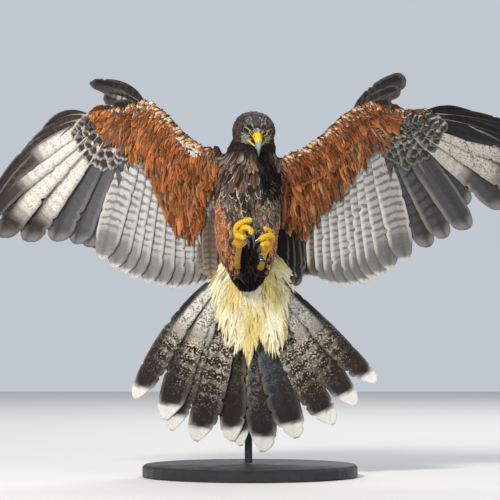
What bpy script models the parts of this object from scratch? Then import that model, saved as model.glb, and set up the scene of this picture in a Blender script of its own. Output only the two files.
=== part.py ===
"""Harris hawk, life size, braking in the air with both wings raised and the tail fanned.

A still display model on a flat base with one bent rod let into the back.
The hawk faces -Y. Its right wing is on the -X side. Sizes are in millimetres
and turned into metres where a mesh is made.
"""
import math
import random

import bmesh
import bpy
from mathutils import Vector

MM = 0.001
GAP = 0.3
FLAT_ANGLES = (0.045, 0.036, 0.03, 0.025, 0.02, 0.016, 0.012, 0.008, 0.004)
SEED = 41

# Display stand
BASE_RADIUS = 140.0
BASE_HEIGHT = 16.0
BASE_EDGE = 3.0
ROD_RADIUS = 5.0
ROD_BACK = 50.0

# Head: centre, heading and half sizes (forward, sideways, upward)
HEAD_CENTRE = (5.0, -18.0, 448.0)
HEAD_YAW = 9.0
HEAD_PITCH = 20.0
SKULL = (32.0, 28.5, 27.0)
EYE_RADIUS = 6.6
EYE_AT = (18.5, 15.5, 8.0)
LID_THICK = 1.3

# Trunk stations: height, centre x, centre y, half width, half depth
TRUNK = [
    (452.0, 4.0, -10.0, 20.0, 20.0),
    (436.0, 4.0, -8.0, 28.0, 27.0),
    (420.0, 1.0, -6.0, 34.0, 31.0),
    (400.0, -1.0, -5.0, 40.0, 35.0),
    (378.0, -2.0, -5.0, 43.0, 38.0),
    (352.0, -2.0, -5.0, 43.5, 38.0),
    (324.0, -3.0, -4.0, 41.0, 34.0),
    (296.0, -3.0, -2.0, 35.0, 28.0),
    (270.0, -3.0, 1.0, 27.0, 21.0),
    (252.0, -3.0, 3.0, 18.0, 14.0),
    (242.0, -3.0, 4.0, 8.0, 6.0),
]
HEAD_CUT = 431.0
NECK_CUT = 411.0
SHOULDER_CUT = 46.0
SHOULDER_FOOT = 372.0

# Tail: 12 rectrices from a short root, fanned about the root
TAIL_ROOT = (-5.0, 16.0, 281.0)
TAIL_ROOT_HALF = 11.0
TAIL_TIP = [(-151, 100), (-111, 72), (-102, 58), (-70, 44), (-22, 44), (-11, 38),
            (15, 30), (55, 54), (60, 48), (109, 66), (138, 91), (165, 121)]
TAIL_WIDTH = [31, 38, 34, 40, 36, 30, 40, 30, 42, 38, 34, 31]
TAIL_BOW = [0.075, 0.080, 0.060, 0.010, 0.035, 0.020, 0.030, 0.0, 0.0, -0.010, 0.025, 0.020]
TAIL_LEAN = 16.0

# Vane thickness at the root and near the tip, and the step between neighbours
VANE_ROOT = 1.3
VANE_TIP = 0.7
VANE_STEP = 1.35

# Each wing: points are (outward from the midline, above the table).
# flesh stations: leading edge, trailing edge of the flesh, thickness, depth
WINGS = {
    "right": {
        "sign": -1.0,
        "flesh": [
            ((18, 416), (18, 374), 26.0, -4.0),
            ((46, 423), (50, 378), 25.0, -4.0),
            ((66, 434), (80, 392), 21.0, -4.5),
            ((90, 452), (98, 411), 17.5, -5.5),
            ((109, 473), (118, 437), 14.5, -7.0),
            ((129, 488), (139, 460), 12.5, -8.0),
            ((150, 483), (158, 461), 11.0, -8.0),
            ((180, 477), (183, 459), 8.5, -7.5),
            ((208, 474), (208, 463), 5.5, -7.0),
        ],
        "primary_root": [(205, 469), (183, 465), (150, 470)],
        "primary_tip": [
            (276, 435), (311, 386), (341, 352), (344, 331), (329, 313),
            (294, 307), (257, 307), (229, 303), (213, 299), (203, 297),
        ],
        "primary_bow": [0.19, 0.15, 0.12, 0.09, 0.07, 0.05, 0.04, 0.03, 0.02, 0.02],
        "secondary_root": [(134, 468), (104, 429), (82, 404), (56, 390)],
        "secondary_tip": [
            (194, 282), (177, 271), (164, 264), (151, 257), (133, 251), (116, 247),
            (101, 244), (88, 244), (77, 247), (67, 249), (58, 252), (47, 262),
        ],
        "wrist_line": ((143.0, 472.0), (199.0, 290.0)),
        "elbow_line": ((84.5, 405.0), (72.0, 247.0)),
        "alula_root": (142, 488),
        "alula_tip": [(208, 511), (190, 491), (178, 477)],
        "under_tip": [(162, 424), (136, 388), (123, 360), (109, 332), (92, 322), (76, 302), (60, 318), (46, 322)],
        "primary_cover_tip": [(232, 441), (214, 408), (196, 399), (176, 401), (166, 410)],
    },
    "left": {
        "sign": 1.0,
        "flesh": [
            ((18, 414), (18, 374), 26.0, -4.0),
            ((46, 416), (50, 376), 25.0, -4.0),
            ((70, 429), (90, 390), 21.0, -4.5),
            ((98, 450), (110, 409), 17.5, -5.5),
            ((118, 470), (131, 435), 14.5, -7.0),
            ((142, 486), (155, 459), 12.5, -8.0),
            ((166, 479), (174, 457), 11.0, -8.0),
            ((198, 478), (201, 457), 8.5, -7.5),
            ((228, 482), (228, 465), 5.5, -7.0),
        ],
        "primary_root": [(225, 474), (200, 465), (166, 467)],
        "primary_tip": [
            (299, 469), (354, 453), (374, 425), (377, 396), (367, 369),
            (335, 352), (284, 354), (286, 323), (256, 311), (234, 299),
        ],
        "primary_bow": [0.05, 0.04, 0.05, 0.06, 0.06, 0.05, 0.04, 0.03, 0.02, 0.02],
        "secondary_root": [(151, 467), (120, 427), (96, 402), (58, 388)],
        "secondary_tip": [
            (203, 279), (183, 268), (170, 260), (159, 256), (149, 251), (138, 248),
            (125, 247), (114, 248), (103, 251), (90, 256), (74, 258), (56, 252),
        ],
        "wrist_line": ((158.5, 469.0), (218.0, 290.0)),
        "elbow_line": ((94.0, 403.0), (97.0, 254.0)),
        "alula_root": (158, 486),
        "alula_tip": [(202, 515), (190, 496), (182, 479)],
        "under_tip": [(194, 438), (163, 420), (142, 400), (127, 375), (106, 352), (84, 325), (66, 302), (46, 318)],
        "primary_cover_tip": [(256, 450), (240, 420), (222, 404), (200, 400), (186, 412)],
    },
}
PRIMARY_WIDTH = [26, 28, 30, 33, 35, 36, 36, 34, 32, 32]
SECONDARY_WIDTH = 34.0
FLIGHT_BACK = 18.0
ALULA_WIDTH = 20.0

# Legs: right leg first. Hip, knee-side and hock points of the feathered thigh with radii
LEGS = {
    "right": {
        "thigh": [
            ((-25, -20, 380), 13.0, 13.0),
            ((-27, -27, 358), 17.5, 18.0),
            ((-29, -30, 330), 17.5, 19.0),
            ((-28, -30, 300), 16.5, 18.0),
            ((-24, -28, 276), 12.0, 13.5),
            ((-20, -27, 262), 6.5, 8.0),
        ],
        "hock": (-17.5, -31, 270),
        "ankle": (-13.5, -97, 300),
        "pad": ((-11, -97, 307), 8.5),
        "toes": [
            [(-13, -96, 308), (-18, -100, 322), (-8, -106, 331), (4, -107, 333)],
            [(-11, -98, 309), (-9, -106, 322), (-1, -113, 322), (3.6, -114, 314)],
            [(-12, -99, 308), (-17, -109, 313), (-12, -116, 312), (-5, -118, 309)],
            [(-10, -96, 305), (-17, -92, 304), (-22, -93, 308)],
        ],
        "claws": [
            [(3.5, -107, 333), (9.5, -108.5, 329), (11.5, -107, 320), (9.5, -103, 313)],
            [(3.6, -114, 315), (5.2, -114, 306), (4.0, -109, 298)],
            [(-5.5, -118, 309.5), (-1.5, -118.5, 303), (-2.0, -114, 295)],
            [(-21.5, -93, 308), (-25.5, -96, 306), (-25, -102, 300), (-20, -107, 296)],
        ],
    },
    "left": {
        "thigh": [
            ((20, -20, 380), 13.0, 13.0),
            ((20, -27, 356), 16.5, 18.0),
            ((20, -30, 328), 16.5, 19.0),
            ((20, -30, 298), 15.5, 18.0),
            ((18, -28, 274), 11.5, 13.5),
            ((16, -27, 260), 6.5, 8.0),
        ],
        "hock": (13.5, -31, 268),
        "ankle": (19, -96, 294),
        "pad": ((21, -96, 299), 8.5),
        "toes": [
            [(22, -97, 302), (25, -102, 315), (22, -107, 321), (16.5, -109, 320.5)],
            [(22, -98, 302), (29, -107, 311), (22, -115, 313), (10, -117, 307)],
            [(21, -100, 299), (23, -110, 303), (19, -116, 303), (13.5, -118, 299.5)],
            [(20, -95, 296), (17, -96, 288), (13.5, -100, 287)],
        ],
        "claws": [
            [(17, -109, 320.7), (11, -110.5, 318), (8.5, -108.5, 310)],
            [(10.5, -117, 307.3), (5.5, -117, 303), (4.2, -112, 295)],
            [(14, -118, 299.8), (10.5, -117.5, 294), (12, -113, 288.5)],
            [(14.0, -99.6, 287.2), (15, -104, 282), (23, -106, 279.5), (30.5, -105, 288)],
        ],
    },
}
TARSUS_RADIUS = 3.6
TOE_RADIUS = 4.4
CLAW_RADIUS = 2.9


def clear_scene():
    for obj in list(bpy.data.objects):
        bpy.data.objects.remove(obj, do_unlink=True)


def material(name, rgb, rough):
    mat = bpy.data.materials.new(name)
    mat.use_nodes = True
    shader = mat.node_tree.nodes["Principled BSDF"]
    shader.inputs["Base Color"].default_value = (rgb[0], rgb[1], rgb[2], 1.0)
    shader.inputs["Roughness"].default_value = rough
    mat.diffuse_color = (rgb[0], rgb[1], rgb[2], 1.0)
    return mat


def mesh_object(name, verts, faces):
    mesh = bpy.data.meshes.new(name)
    mesh.from_pydata([tuple(c * MM for c in v) for v in verts], [], faces)
    bm = bmesh.new()
    bm.from_mesh(mesh)
    bmesh.ops.recalc_face_normals(bm, faces=bm.faces)
    bm.to_mesh(mesh)
    bm.free()
    obj = bpy.data.objects.new(name, mesh)
    bpy.context.scene.collection.objects.link(obj)
    return obj


def loft(name, rings):
    """Closed skin over rings of equal count, with a centre point in each end."""
    count = len(rings[0])
    verts = [tuple(p) for ring in rings for p in ring]
    faces = []
    for i in range(len(rings) - 1):
        for j in range(count):
            a = i * count + j
            b = i * count + (j + 1) % count
            faces.append((a, b, b + count))
            faces.append((a, b + count, a + count))
    for end, ring in ((0, rings[0]), (len(rings) - 1, rings[-1])):
        centre = [sum(p[k] for p in ring) / count for k in range(3)]
        verts.append(tuple(centre))
        mid = len(verts) - 1
        for j in range(count):
            faces.append((mid, end * count + j, end * count + (j + 1) % count))
    return mesh_object(name, verts, faces)


def tube(name, path, radii, sides=10, squash=1.0):
    """Round tube along a path; radii are one per point; squash flattens it."""
    points = [Vector(p) for p in path]
    rings = []
    side = None
    for i, point in enumerate(points):
        ahead = points[min(i + 1, len(points) - 1)] - points[max(i - 1, 0)]
        ahead.normalize()
        if side is None:
            guide = Vector((0, 0, 1)) if abs(ahead.z) < 0.9 else Vector((0, 1, 0))
            side = ahead.cross(guide).normalized()
        side = (side - ahead * side.dot(ahead)).normalized()
        other = ahead.cross(side)
        ring = []
        for j in range(sides):
            angle = 2 * math.pi * j / sides
            offset = side * math.cos(angle) + other * math.sin(angle) * squash
            ring.append(point + offset * radii[i])
        rings.append(ring)
    return loft(name, rings)


def smooth_path(points, steps):
    """Catmull-Rom points through the given ones."""
    pts = [Vector(p) for p in points]
    pts = [pts[0] * 2 - pts[1]] + pts + [pts[-1] * 2 - pts[-2]]
    out = []
    for i in range(1, len(pts) - 2):
        for k in range(steps):
            t = k / steps
            a, b, c, d = pts[i - 1], pts[i], pts[i + 1], pts[i + 2]
            out.append(0.5 * (2 * b + (c - a) * t + (2 * a - 5 * b + 4 * c - d) * t * t
                              + (3 * b - a - 3 * c + d) * t ** 3))
    out.append(pts[-2])
    return out


def ellipsoid(name, centre, half, axes, segments=16, rings=10, shape=None):
    """Closed ellipsoid on its own axes; shape may move a point of the unit sphere."""
    verts = []
    faces = []
    for i in range(1, rings):
        polar = math.pi * i / rings
        for j in range(segments):
            turn = 2 * math.pi * j / segments
            unit = Vector((math.sin(polar) * math.cos(turn), math.sin(polar) * math.sin(turn), math.cos(polar)))
            verts.append(unit)
    verts.append(Vector((0, 0, 1)))
    verts.append(Vector((0, 0, -1)))
    placed = []
    for unit in verts:
        local = Vector((unit[0] * half[0], unit[1] * half[1], unit[2] * half[2]))
        if shape:
            local = shape(local, unit)
        placed.append(Vector(centre) + axes[0] * local[0] + axes[1] * local[1] + axes[2] * local[2])
    top = len(verts) - 2
    low = len(verts) - 1
    for i in range(rings - 2):
        for j in range(segments):
            a = i * segments + j
            b = i * segments + (j + 1) % segments
            faces.append((a, b, b + segments, a + segments))
    for j in range(segments):
        faces.append((top, (j + 1) % segments, j))
        last = (rings - 2) * segments
        faces.append((low, last + j, last + (j + 1) % segments))
    return mesh_object(name, placed, faces)


def grown(obj, amount):
    """Copy of a solid with every face pushed outward."""
    mesh = obj.data.copy()
    bm = bmesh.new()
    bm.from_mesh(mesh)
    bm.normal_update()
    moves = [v.normal * amount * MM * (v.calc_shell_factor()) for v in bm.verts]
    for v, move in zip(bm.verts, moves):
        v.co += move
    bm.to_mesh(mesh)
    bm.free()
    new = bpy.data.objects.new(obj.name + "_grown", mesh)
    bpy.context.scene.collection.objects.link(new)
    return new


def combine(obj, others, how, solver="MANIFOLD", keep_others=False):
    """Boolean of one object with a list of others, applied; the others are removed."""
    group = bpy.data.collections.new("operands")
    bpy.context.scene.collection.children.link(group)
    for other in others:
        group.objects.link(other)
    mod = obj.modifiers.new("combine", "BOOLEAN")
    mod.operation = how
    mod.operand_type = "COLLECTION"
    mod.collection = group
    mod.solver = solver
    bpy.context.view_layer.objects.active = obj
    for item in bpy.context.selected_objects:
        item.select_set(False)
    obj.select_set(True)
    bpy.ops.object.modifier_apply(modifier=mod.name)
    for other in others:
        group.objects.unlink(other)
        if not keep_others:
            bpy.data.objects.remove(other, do_unlink=True)
    bpy.data.collections.remove(group)
    return obj


def keep_largest(obj):
    """Leave only the largest closed surface, with flat faces drawn together."""
    bm = bmesh.new()
    bm.from_mesh(obj.data)
    bmesh.ops.remove_doubles(bm, verts=bm.verts, dist=0.0000005)
    loose = set(bm.verts)
    islands = []
    while loose:
        seed = loose.pop()
        island = {seed}
        stack = [seed]
        while stack:
            vert = stack.pop()
            for edge in vert.link_edges:
                other = edge.other_vert(vert)
                if other in loose:
                    loose.remove(other)
                    island.add(other)
                    stack.append(other)
        islands.append(island)
    islands.sort(key=len, reverse=True)
    for island in islands[1:]:
        bmesh.ops.delete(bm, geom=list(island), context="VERTS")
    plain = bm.copy()
    for angle in FLAT_ANGLES:
        bmesh.ops.dissolve_limit(bm, angle_limit=angle, verts=bm.verts, edges=bm.edges)
        bmesh.ops.triangulate(bm, faces=bm.faces)
        if all(len(edge.link_faces) == 2 for edge in bm.edges):
            break
        bm.free()
        bm = plain.copy()
    bmesh.ops.triangulate(bm, faces=bm.faces)
    bmesh.ops.recalc_face_normals(bm, faces=bm.faces)
    bm.to_mesh(obj.data)
    bm.free()
    return obj


def half_space(name, point, outward, size=900.0):
    """Large box whose one face lies on the plane, filling the outward side."""
    n = Vector(outward).normalized()
    p = Vector(point)
    a = n.cross(Vector((0, 1, 0)))
    if a.length < 0.1:
        a = n.cross(Vector((1, 0, 0)))
    a.normalize()
    b = n.cross(a)
    verts = []
    for depth in (0.0, size):
        for u, v in ((-1, -1), (1, -1), (1, 1), (-1, 1)):
            verts.append(p + a * u * size + b * v * size + n * depth)
    faces = [(0, 1, 2, 3), (4, 5, 6, 7), (0, 1, 5, 4), (1, 2, 6, 5), (2, 3, 7, 6), (3, 0, 4, 7)]
    return mesh_object(name, verts, faces)


def block(one, other):
    """Box between two corners."""
    low = [min(a, b) for a, b in zip(one, other)]
    high = [max(a, b) for a, b in zip(one, other)]
    verts = [(x, y, z) for z in (low[2], high[2]) for y in (low[1], high[1]) for x in (low[0], high[0])]
    faces = [(0, 1, 3, 2), (4, 5, 7, 6), (0, 1, 5, 4), (2, 3, 7, 6), (0, 2, 6, 4), (1, 3, 7, 5)]
    return mesh_object("block", verts, faces)


def along(points, count):
    """Evenly spaced points on a bent line."""
    pts = [Vector(p) for p in points]
    spans = [(pts[i + 1] - pts[i]).length for i in range(len(pts) - 1)]
    total = sum(spans)
    out = []
    for k in range(count):
        want = total * k / (count - 1)
        i = 0
        while i < len(spans) - 1 and want > spans[i]:
            want -= spans[i]
            i += 1
        out.append(pts[i].lerp(pts[i + 1], min(1.0, want / spans[i])))
    return out


FLIGHT_SHAPE = [(0.0, 0.14), (0.22, 0.66), (0.55, 1.0), (0.88, 0.92), (1.0, 0.36)]
POINTED_SHAPE = [(0.0, 0.14), (0.2, 0.66), (0.5, 1.0), (0.84, 0.66), (1.0, 0.2)]
TAIL_SHAPE = [(0.0, 0.14), (0.25, 0.62), (0.6, 0.96), (0.86, 1.0), (1.0, 0.32)]
COVER_SHAPE = [(0.0, 0.34), (0.68, 1.0), (1.0, 0.4)]


def vane(name, root, tip, width, inner, bow=0.0, sag=0.0, outer_share=0.4,
         step=(7.0, 20.0), shape=None):
    """One feather: a thin tapering strip from root to tip.

    inner is the x side (+1 or -1) on which the body lies; outer_share is how much
    of the width lies beyond the shaft, away from the body; bow bends the shaft
    outward, sag bends it backward; step is the spacing to the next feather at the
    root and at the tip and sets how much the inner web is rolled to the front.
    """
    root = Vector(root)
    tip = Vector(tip)
    line = tip - root
    flat_line = Vector((line.x, 0, line.z))
    across_chord = Vector((-flat_line.z, 0, flat_line.x)).normalized() * inner
    rings = []
    length = line.length
    for t, share in (shape or FLIGHT_SHAPE):
        lift = 4 * t * (1 - t)
        centre = root + line * t - across_chord * bow * length * lift + Vector((0, sag * lift, 0))
        slope = line - across_chord * bow * length * 4 * (1 - 2 * t)
        slope += Vector((0, sag * 4 * (1 - 2 * t), 0))
        slope.normalize()
        flat_slope = Vector((slope.x, 0, slope.z)).normalized()
        across = Vector((-flat_slope.z, 0, flat_slope.x)) * inner
        space = step[0] + (step[1] - step[0]) * t
        roll = math.asin(min(0.35, VANE_STEP / space))
        across = across * math.cos(roll) - Vector((0, 1, 0)) * math.sin(roll)
        normal = slope.cross(across).normalized()
        thick = (VANE_ROOT + (VANE_TIP - VANE_ROOT) * min(1.0, t * 1.6)) / 2
        outer = across * -(width * share * outer_share)
        inward = across * (width * share * (1 - outer_share))
        rings.append((centre + outer + normal * thick, centre + inward + normal * thick,
                      centre + inward - normal * thick, centre + outer - normal * thick))
    verts = [p for ring in rings for p in ring]
    faces = [(0, 1, 2), (0, 2, 3)]
    for i in range(len(rings) - 1):
        a = i * 4
        b = a + 4
        faces += [(a, a + 1, b + 1), (a, b + 1, b)]
        faces += [(a + 3, b + 2, a + 2), (a + 3, b + 3, b + 2)]
        faces += [(a + 1, a + 2, b + 2), (a + 1, b + 2, b + 1)]
        faces += [(a, b, b + 3), (a, b + 3, a + 3)]
    e = (len(rings) - 1) * 4
    faces += [(e, e + 1, e + 2), (e, e + 2, e + 3)]
    return mesh_object(name, verts, faces)


def wing_flesh(name, wing):
    """Thick skin of the whole wing, from inside the trunk to the tip of the hand."""
    sign = wing["sign"]
    rings = []
    for lead, trail, thick, depth in wing["flesh"]:
        ring = []
        for share, half in SECTION:
            x = lead[0] + (trail[0] - lead[0]) * share
            z = lead[1] + (trail[1] - lead[1]) * share
            ring.append((sign * x, depth - thick * half, z))
        for share, half in reversed(SECTION[1:]):
            x = lead[0] + (trail[0] - lead[0]) * share
            z = lead[1] + (trail[1] - lead[1]) * share
            ring.append((sign * x, depth + thick * half, z))
        rings.append(ring)
    return loft(name, rings)


SECTION = [(0.0, 0.0), (0.05, 0.30), (0.22, 0.50), (0.5, 0.46), (0.8, 0.26), (1.0, 0.06)]


def flesh_at(wing, point):
    """Place of a point on the wing flesh: distance off it, share of the chord from
    the leading edge, depth of the middle and half thickness there."""
    best = (1e9, 0.0, 0.0, 0.0)
    for a, b in zip(wing["flesh"], wing["flesh"][1:]):
        for k in range(9):
            t = k / 8
            lead = Vector(a[0]).lerp(Vector(b[0]), t)
            trail = Vector(a[1]).lerp(Vector(b[1]), t)
            chord = trail - lead
            share = max(0.0, min(1.0, (point - lead).dot(chord) / chord.length_squared))
            off = (point - (lead + chord * share)).length
            if off < best[0]:
                thick = a[2] + (b[2] - a[2]) * t
                depth = a[3] + (b[3] - a[3]) * t
                half = 0.0
                for (s0, h0), (s1, h1) in zip(SECTION, SECTION[1:]):
                    if s0 <= share <= s1:
                        half = h0 + (h1 - h0) * (share - s0) / (s1 - s0)
                best = (off, share, depth, half * thick)
    return best


def wing_feathers(side, wing, rng):
    """Vanes of one wing, sorted into hand, forearm and upper arm."""
    sign = wing["sign"]
    groups = {"hand": [], "forearm": [], "upper_arm": []}

    def place(point, depth):
        return (sign * point[0], depth, point[1])

    inner = -sign
    roots = along(wing["primary_root"], 10)
    tips = [Vector(p) for p in wing["primary_tip"]]
    for i in range(10):
        depth = flesh_at(wing, roots[i])[2]
        near = 6.5
        far = (tips[i] - tips[max(i - 1, 0)]).length if i else 30.0
        far = max(14.0, min(30.0, far))
        groups["hand"].append(vane(
            "primary", place(roots[i], depth), place(tips[i], depth + FLIGHT_BACK + 6),
            PRIMARY_WIDTH[i], inner, bow=wing["primary_bow"][i], sag=5.0,
            outer_share=0.30 if i < 5 else 0.38, step=(near, far),
            shape=POINTED_SHAPE if i < 4 else FLIGHT_SHAPE))
    roots = along(wing["secondary_root"], 12)
    for i in range(12):
        tip = wing["secondary_tip"][i]
        depth = flesh_at(wing, roots[i])[2]
        which = "forearm" if i < 9 else "upper_arm"
        width = SECONDARY_WIDTH if i < 9 else SECONDARY_WIDTH - 4
        groups[which].append(vane(
            "secondary", place(roots[i], depth), place(tip, depth + FLIGHT_BACK),
            width, inner, bow=0.03, sag=5.0, outer_share=0.42, step=(7.0, 15.0)))

    def covers(count, tip_line, reach, width, face, lift, heading_of):
        """One tier of coverts: rooted in the flesh at a share of its chord."""
        ends = along(tip_line, count)
        for i, end in enumerate(ends):
            which, heading = heading_of(i / (count - 1), end)
            root = end - heading * 30.0
            spot = flesh_at(wing, root)
            for k in range(60):
                if spot[0] < 1.5 and spot[1] <= reach:
                    break
                root = root - heading * 1.5
                spot = flesh_at(wing, root)
            else:
                continue
            y_root = spot[2] + face * spot[3] * 0.55
            y_tip = spot[2] + face * lift + FLIGHT_BACK * 0.33
            groups[which].append(vane(
                "cover", place(root, y_root), place(end, y_tip), width * rng.uniform(0.94, 1.06),
                inner, bow=0.02, sag=0.0, outer_share=0.45, step=(9.0, 12.0), shape=COVER_SHAPE))

    def arm_heading(t, end):
        line = Vector((-0.30 + 0.42 * t, -1.0)) if side == "left" else Vector((-0.25 + 0.40 * t, -1.0))
        line = Vector((-line.x, line.y)).normalized()
        a, b = Vector(wing["elbow_line"][0]), Vector(wing["elbow_line"][1])
        u = (end.y - a.y) / (b.y - a.y)
        which = "upper_arm" if end.x < a.x + (b.x - a.x) * u else "forearm"
        return which, line

    def hand_heading(t, end):
        line = Vector((0.62 - 0.55 * t, -0.55 - 0.45 * t)).normalized()
        return "hand", line

    covers(9, wing["under_tip"], 0.72, 21.0, -1.0, 5.5, arm_heading)
    raised = [Vector(p) + Vector((-2.0, 27.0)) for p in wing["under_tip"]]
    covers(6, raised, 0.5, 25.0, -1.0, 10.0, arm_heading)
    covers(5, wing["primary_cover_tip"], 0.7, 21.0, -1.0, 4.5, hand_heading)
    upper = [Vector(p) + Vector((4.0, 6.0)) for p in wing["under_tip"][:-2]]
    covers(7, upper, 0.72, 25.0, 1.0, 6.5, arm_heading)
    high = [Vector(p) + Vector((-2.0, 34.0)) for p in wing["under_tip"][:-2]]
    covers(4, high, 0.5, 28.0, 1.0, 10.5, arm_heading)
    back = [Vector(p) + Vector((6.0, 2.0)) for p in wing["primary_cover_tip"]]
    covers(5, back, 0.7, 20.0, 1.0, 5.0, hand_heading)
    return groups


def plane_normal(line, sign, outward):
    """Normal of the cut that holds a line of the wing and the depth axis."""
    a = Vector((sign * line[0][0], 0, line[0][1]))
    b = Vector((sign * line[1][0], 0, line[1][1]))
    along_line = (b - a).normalized()
    normal = along_line.cross(Vector((0, 1, 0))).normalized()
    if normal.x * sign < 0:
        normal = -normal
    return a, normal * outward


def cut(obj, point, outward, gap=GAP / 2):
    """Remove what lies on the outward side of a plane, less half a gap."""
    n = Vector(outward).normalized()
    box = half_space("cutter", Vector(point) - n * gap, n)
    return combine(obj, [box], "DIFFERENCE")


def head_axes():
    yaw = math.radians(HEAD_YAW)
    pitch = math.radians(HEAD_PITCH)
    forward = Vector((math.sin(yaw) * math.cos(pitch), -math.cos(yaw) * math.cos(pitch), -math.sin(pitch)))
    side = Vector((math.cos(yaw), math.sin(yaw), 0.0))
    return forward, side, forward.cross(side)


def head_point(f, r, u):
    forward, side, up = head_axes()
    return Vector(HEAD_CENTRE) + forward * f + side * r + up * u


def finish(obj, name, mat):
    obj.name = name
    obj.data.name = name
    obj.data.materials.clear()
    obj.data.materials.append(mat)
    for poly in obj.data.polygons:
        poly.material_index = 0


def make_trunk():
    rings = []
    for z, cx, cy, a, b in TRUNK:
        ring = []
        for j in range(20):
            angle = 2 * math.pi * j / 20
            ring.append((cx + a * math.cos(angle), cy + b * math.sin(angle), z))
        rings.append(ring)
    return loft("trunk", rings)


def make_skull():
    def shape(local, unit):
        ahead = max(0.0, unit[0])
        local.y *= 1.0 - 0.20 * ahead ** 2
        local.z *= 1.0 - 0.10 * ahead ** 2
        if unit[2] > 0.75:
            local.z -= (unit[2] - 0.75) * 5.0
        return local
    return ellipsoid("skull", HEAD_CENTRE, SKULL, head_axes(), 18, 10, shape)


def ring_loop(name, centre, normal, major, minor, squash=1.0, sides=10, round_sides=4):
    """Closed ring such as an eyelid."""
    n = Vector(normal).normalized()
    a = n.cross(Vector((0, 0, 1))).normalized()
    b = n.cross(a)
    verts = []
    faces = []
    for i in range(sides):
        turn = 2 * math.pi * i / sides
        out = a * math.cos(turn) + b * math.sin(turn) * squash
        for j in range(round_sides):
            angle = 2 * math.pi * j / round_sides
            verts.append(Vector(centre) + out * major + (out * math.cos(angle) + n * math.sin(angle)) * minor)
    for i in range(sides):
        for j in range(round_sides):
            p = i * round_sides + j
            q = i * round_sides + (j + 1) % round_sides
            r = ((i + 1) % sides) * round_sides + (j + 1) % round_sides
            s = ((i + 1) % sides) * round_sides + j
            faces.append((p, q, r, s))
    return mesh_object(name, verts, faces)


def bill_ring(f, u, half_width, top, low, lean=0.0, count=10):
    """Section of the bill square to its curve; lean turns it down from the head axis."""
    lean = math.radians(lean)
    ring = []
    for j in range(count):
        angle = 2 * math.pi * j / count
        height = math.sin(angle)
        height = height * top if height > 0 else height * low
        ring.append(head_point(f + height * math.sin(lean), half_width * math.cos(angle),
                               u + height * math.cos(lean)))
    return ring


clear_scene()
rng = random.Random(SEED)
DARK = material("plumage_dark", (0.060, 0.042, 0.032), 0.75)
RUFOUS = material("plumage_rufous", (0.30, 0.10, 0.035), 0.75)
GREY = material("plumage_grey", (0.33, 0.31, 0.30), 0.7)
CREAM = material("plumage_tail", (0.34, 0.27, 0.20), 0.7)
YELLOW = material("bare_yellow", (0.75, 0.42, 0.04), 0.45)
HORN = material("horn_dark", (0.03, 0.035, 0.045), 0.3)
BILL = material("horn_grey", (0.22, 0.26, 0.31), 0.35)
EYE = material("eye_brown", (0.03, 0.012, 0.006), 0.05)
STAND = material("stand_black", (0.02, 0.02, 0.022), 0.4)

# Head parts: eyes, bill and cere first, so the head can be hollowed round them
forward_axis, side_axis, up_axis = head_axes()
eyes = {}
for side, sign in (("right", -1.0), ("left", 1.0)):
    at = head_point(EYE_AT[0], sign * EYE_AT[1], EYE_AT[2])
    eyes[side] = ellipsoid("eye_" + side, at, (EYE_RADIUS,) * 3, (forward_axis, side_axis, up_axis), 12, 8)

upper_rings = [
    bill_ring(29.5, 3.5, 5.8, 6.5, 6.3, 2.0),
    bill_ring(34.5, 2.8, 5.3, 6.2, 6.0, 12.0),
    bill_ring(39.3, 0.8, 4.5, 5.4, 5.4, 30.0),
    bill_ring(43.4, -3.0, 3.5, 4.2, 4.6, 50.0),
    bill_ring(45.8, -7.6, 2.4, 2.8, 3.4, 70.0),
    bill_ring(46.6, -12.6, 1.4, 1.6, 2.0, 86.0),
    bill_ring(46.4, -17.0, 0.5, 0.5, 0.6, 94.0),
]
bill_upper = loft("bill_upper", upper_rings)
lower_rings = [
    bill_ring(24.0, -8.0, 5.0, 3.4, 4.0),
    bill_ring(31.0, -8.4, 4.6, 3.2, 3.6),
    bill_ring(37.0, -9.2, 3.6, 2.8, 3.0),
    bill_ring(41.5, -10.0, 2.2, 2.2, 2.2),
    bill_ring(43.6, -10.2, 0.9, 1.0, 1.0),
]
bill_lower = loft("bill_lower", lower_rings)
cere = ellipsoid("cere", head_point(27.0, 0, 4.0), (9.0, 7.2, 8.0), (forward_axis, side_axis, up_axis), 12, 7)
hollows = [grown(eyes["right"], GAP), grown(eyes["left"], GAP), grown(bill_upper, GAP),
           grown(bill_lower, GAP), grown(cere, GAP)]
combine(cere, [grown(bill_upper, GAP), grown(bill_lower, GAP)], "DIFFERENCE")
combine(bill_lower, [grown(bill_upper, GAP)], "DIFFERENCE")
nostrils = []
for sign in (-1.0, 1.0):
    nostrils.append(ellipsoid("nostril", head_point(30.5, sign * 6.4, 5.5), (1.7, 1.5, 1.2),
                              (forward_axis, side_axis, up_axis), 6, 5))
combine(cere, nostrils, "DIFFERENCE")

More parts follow.
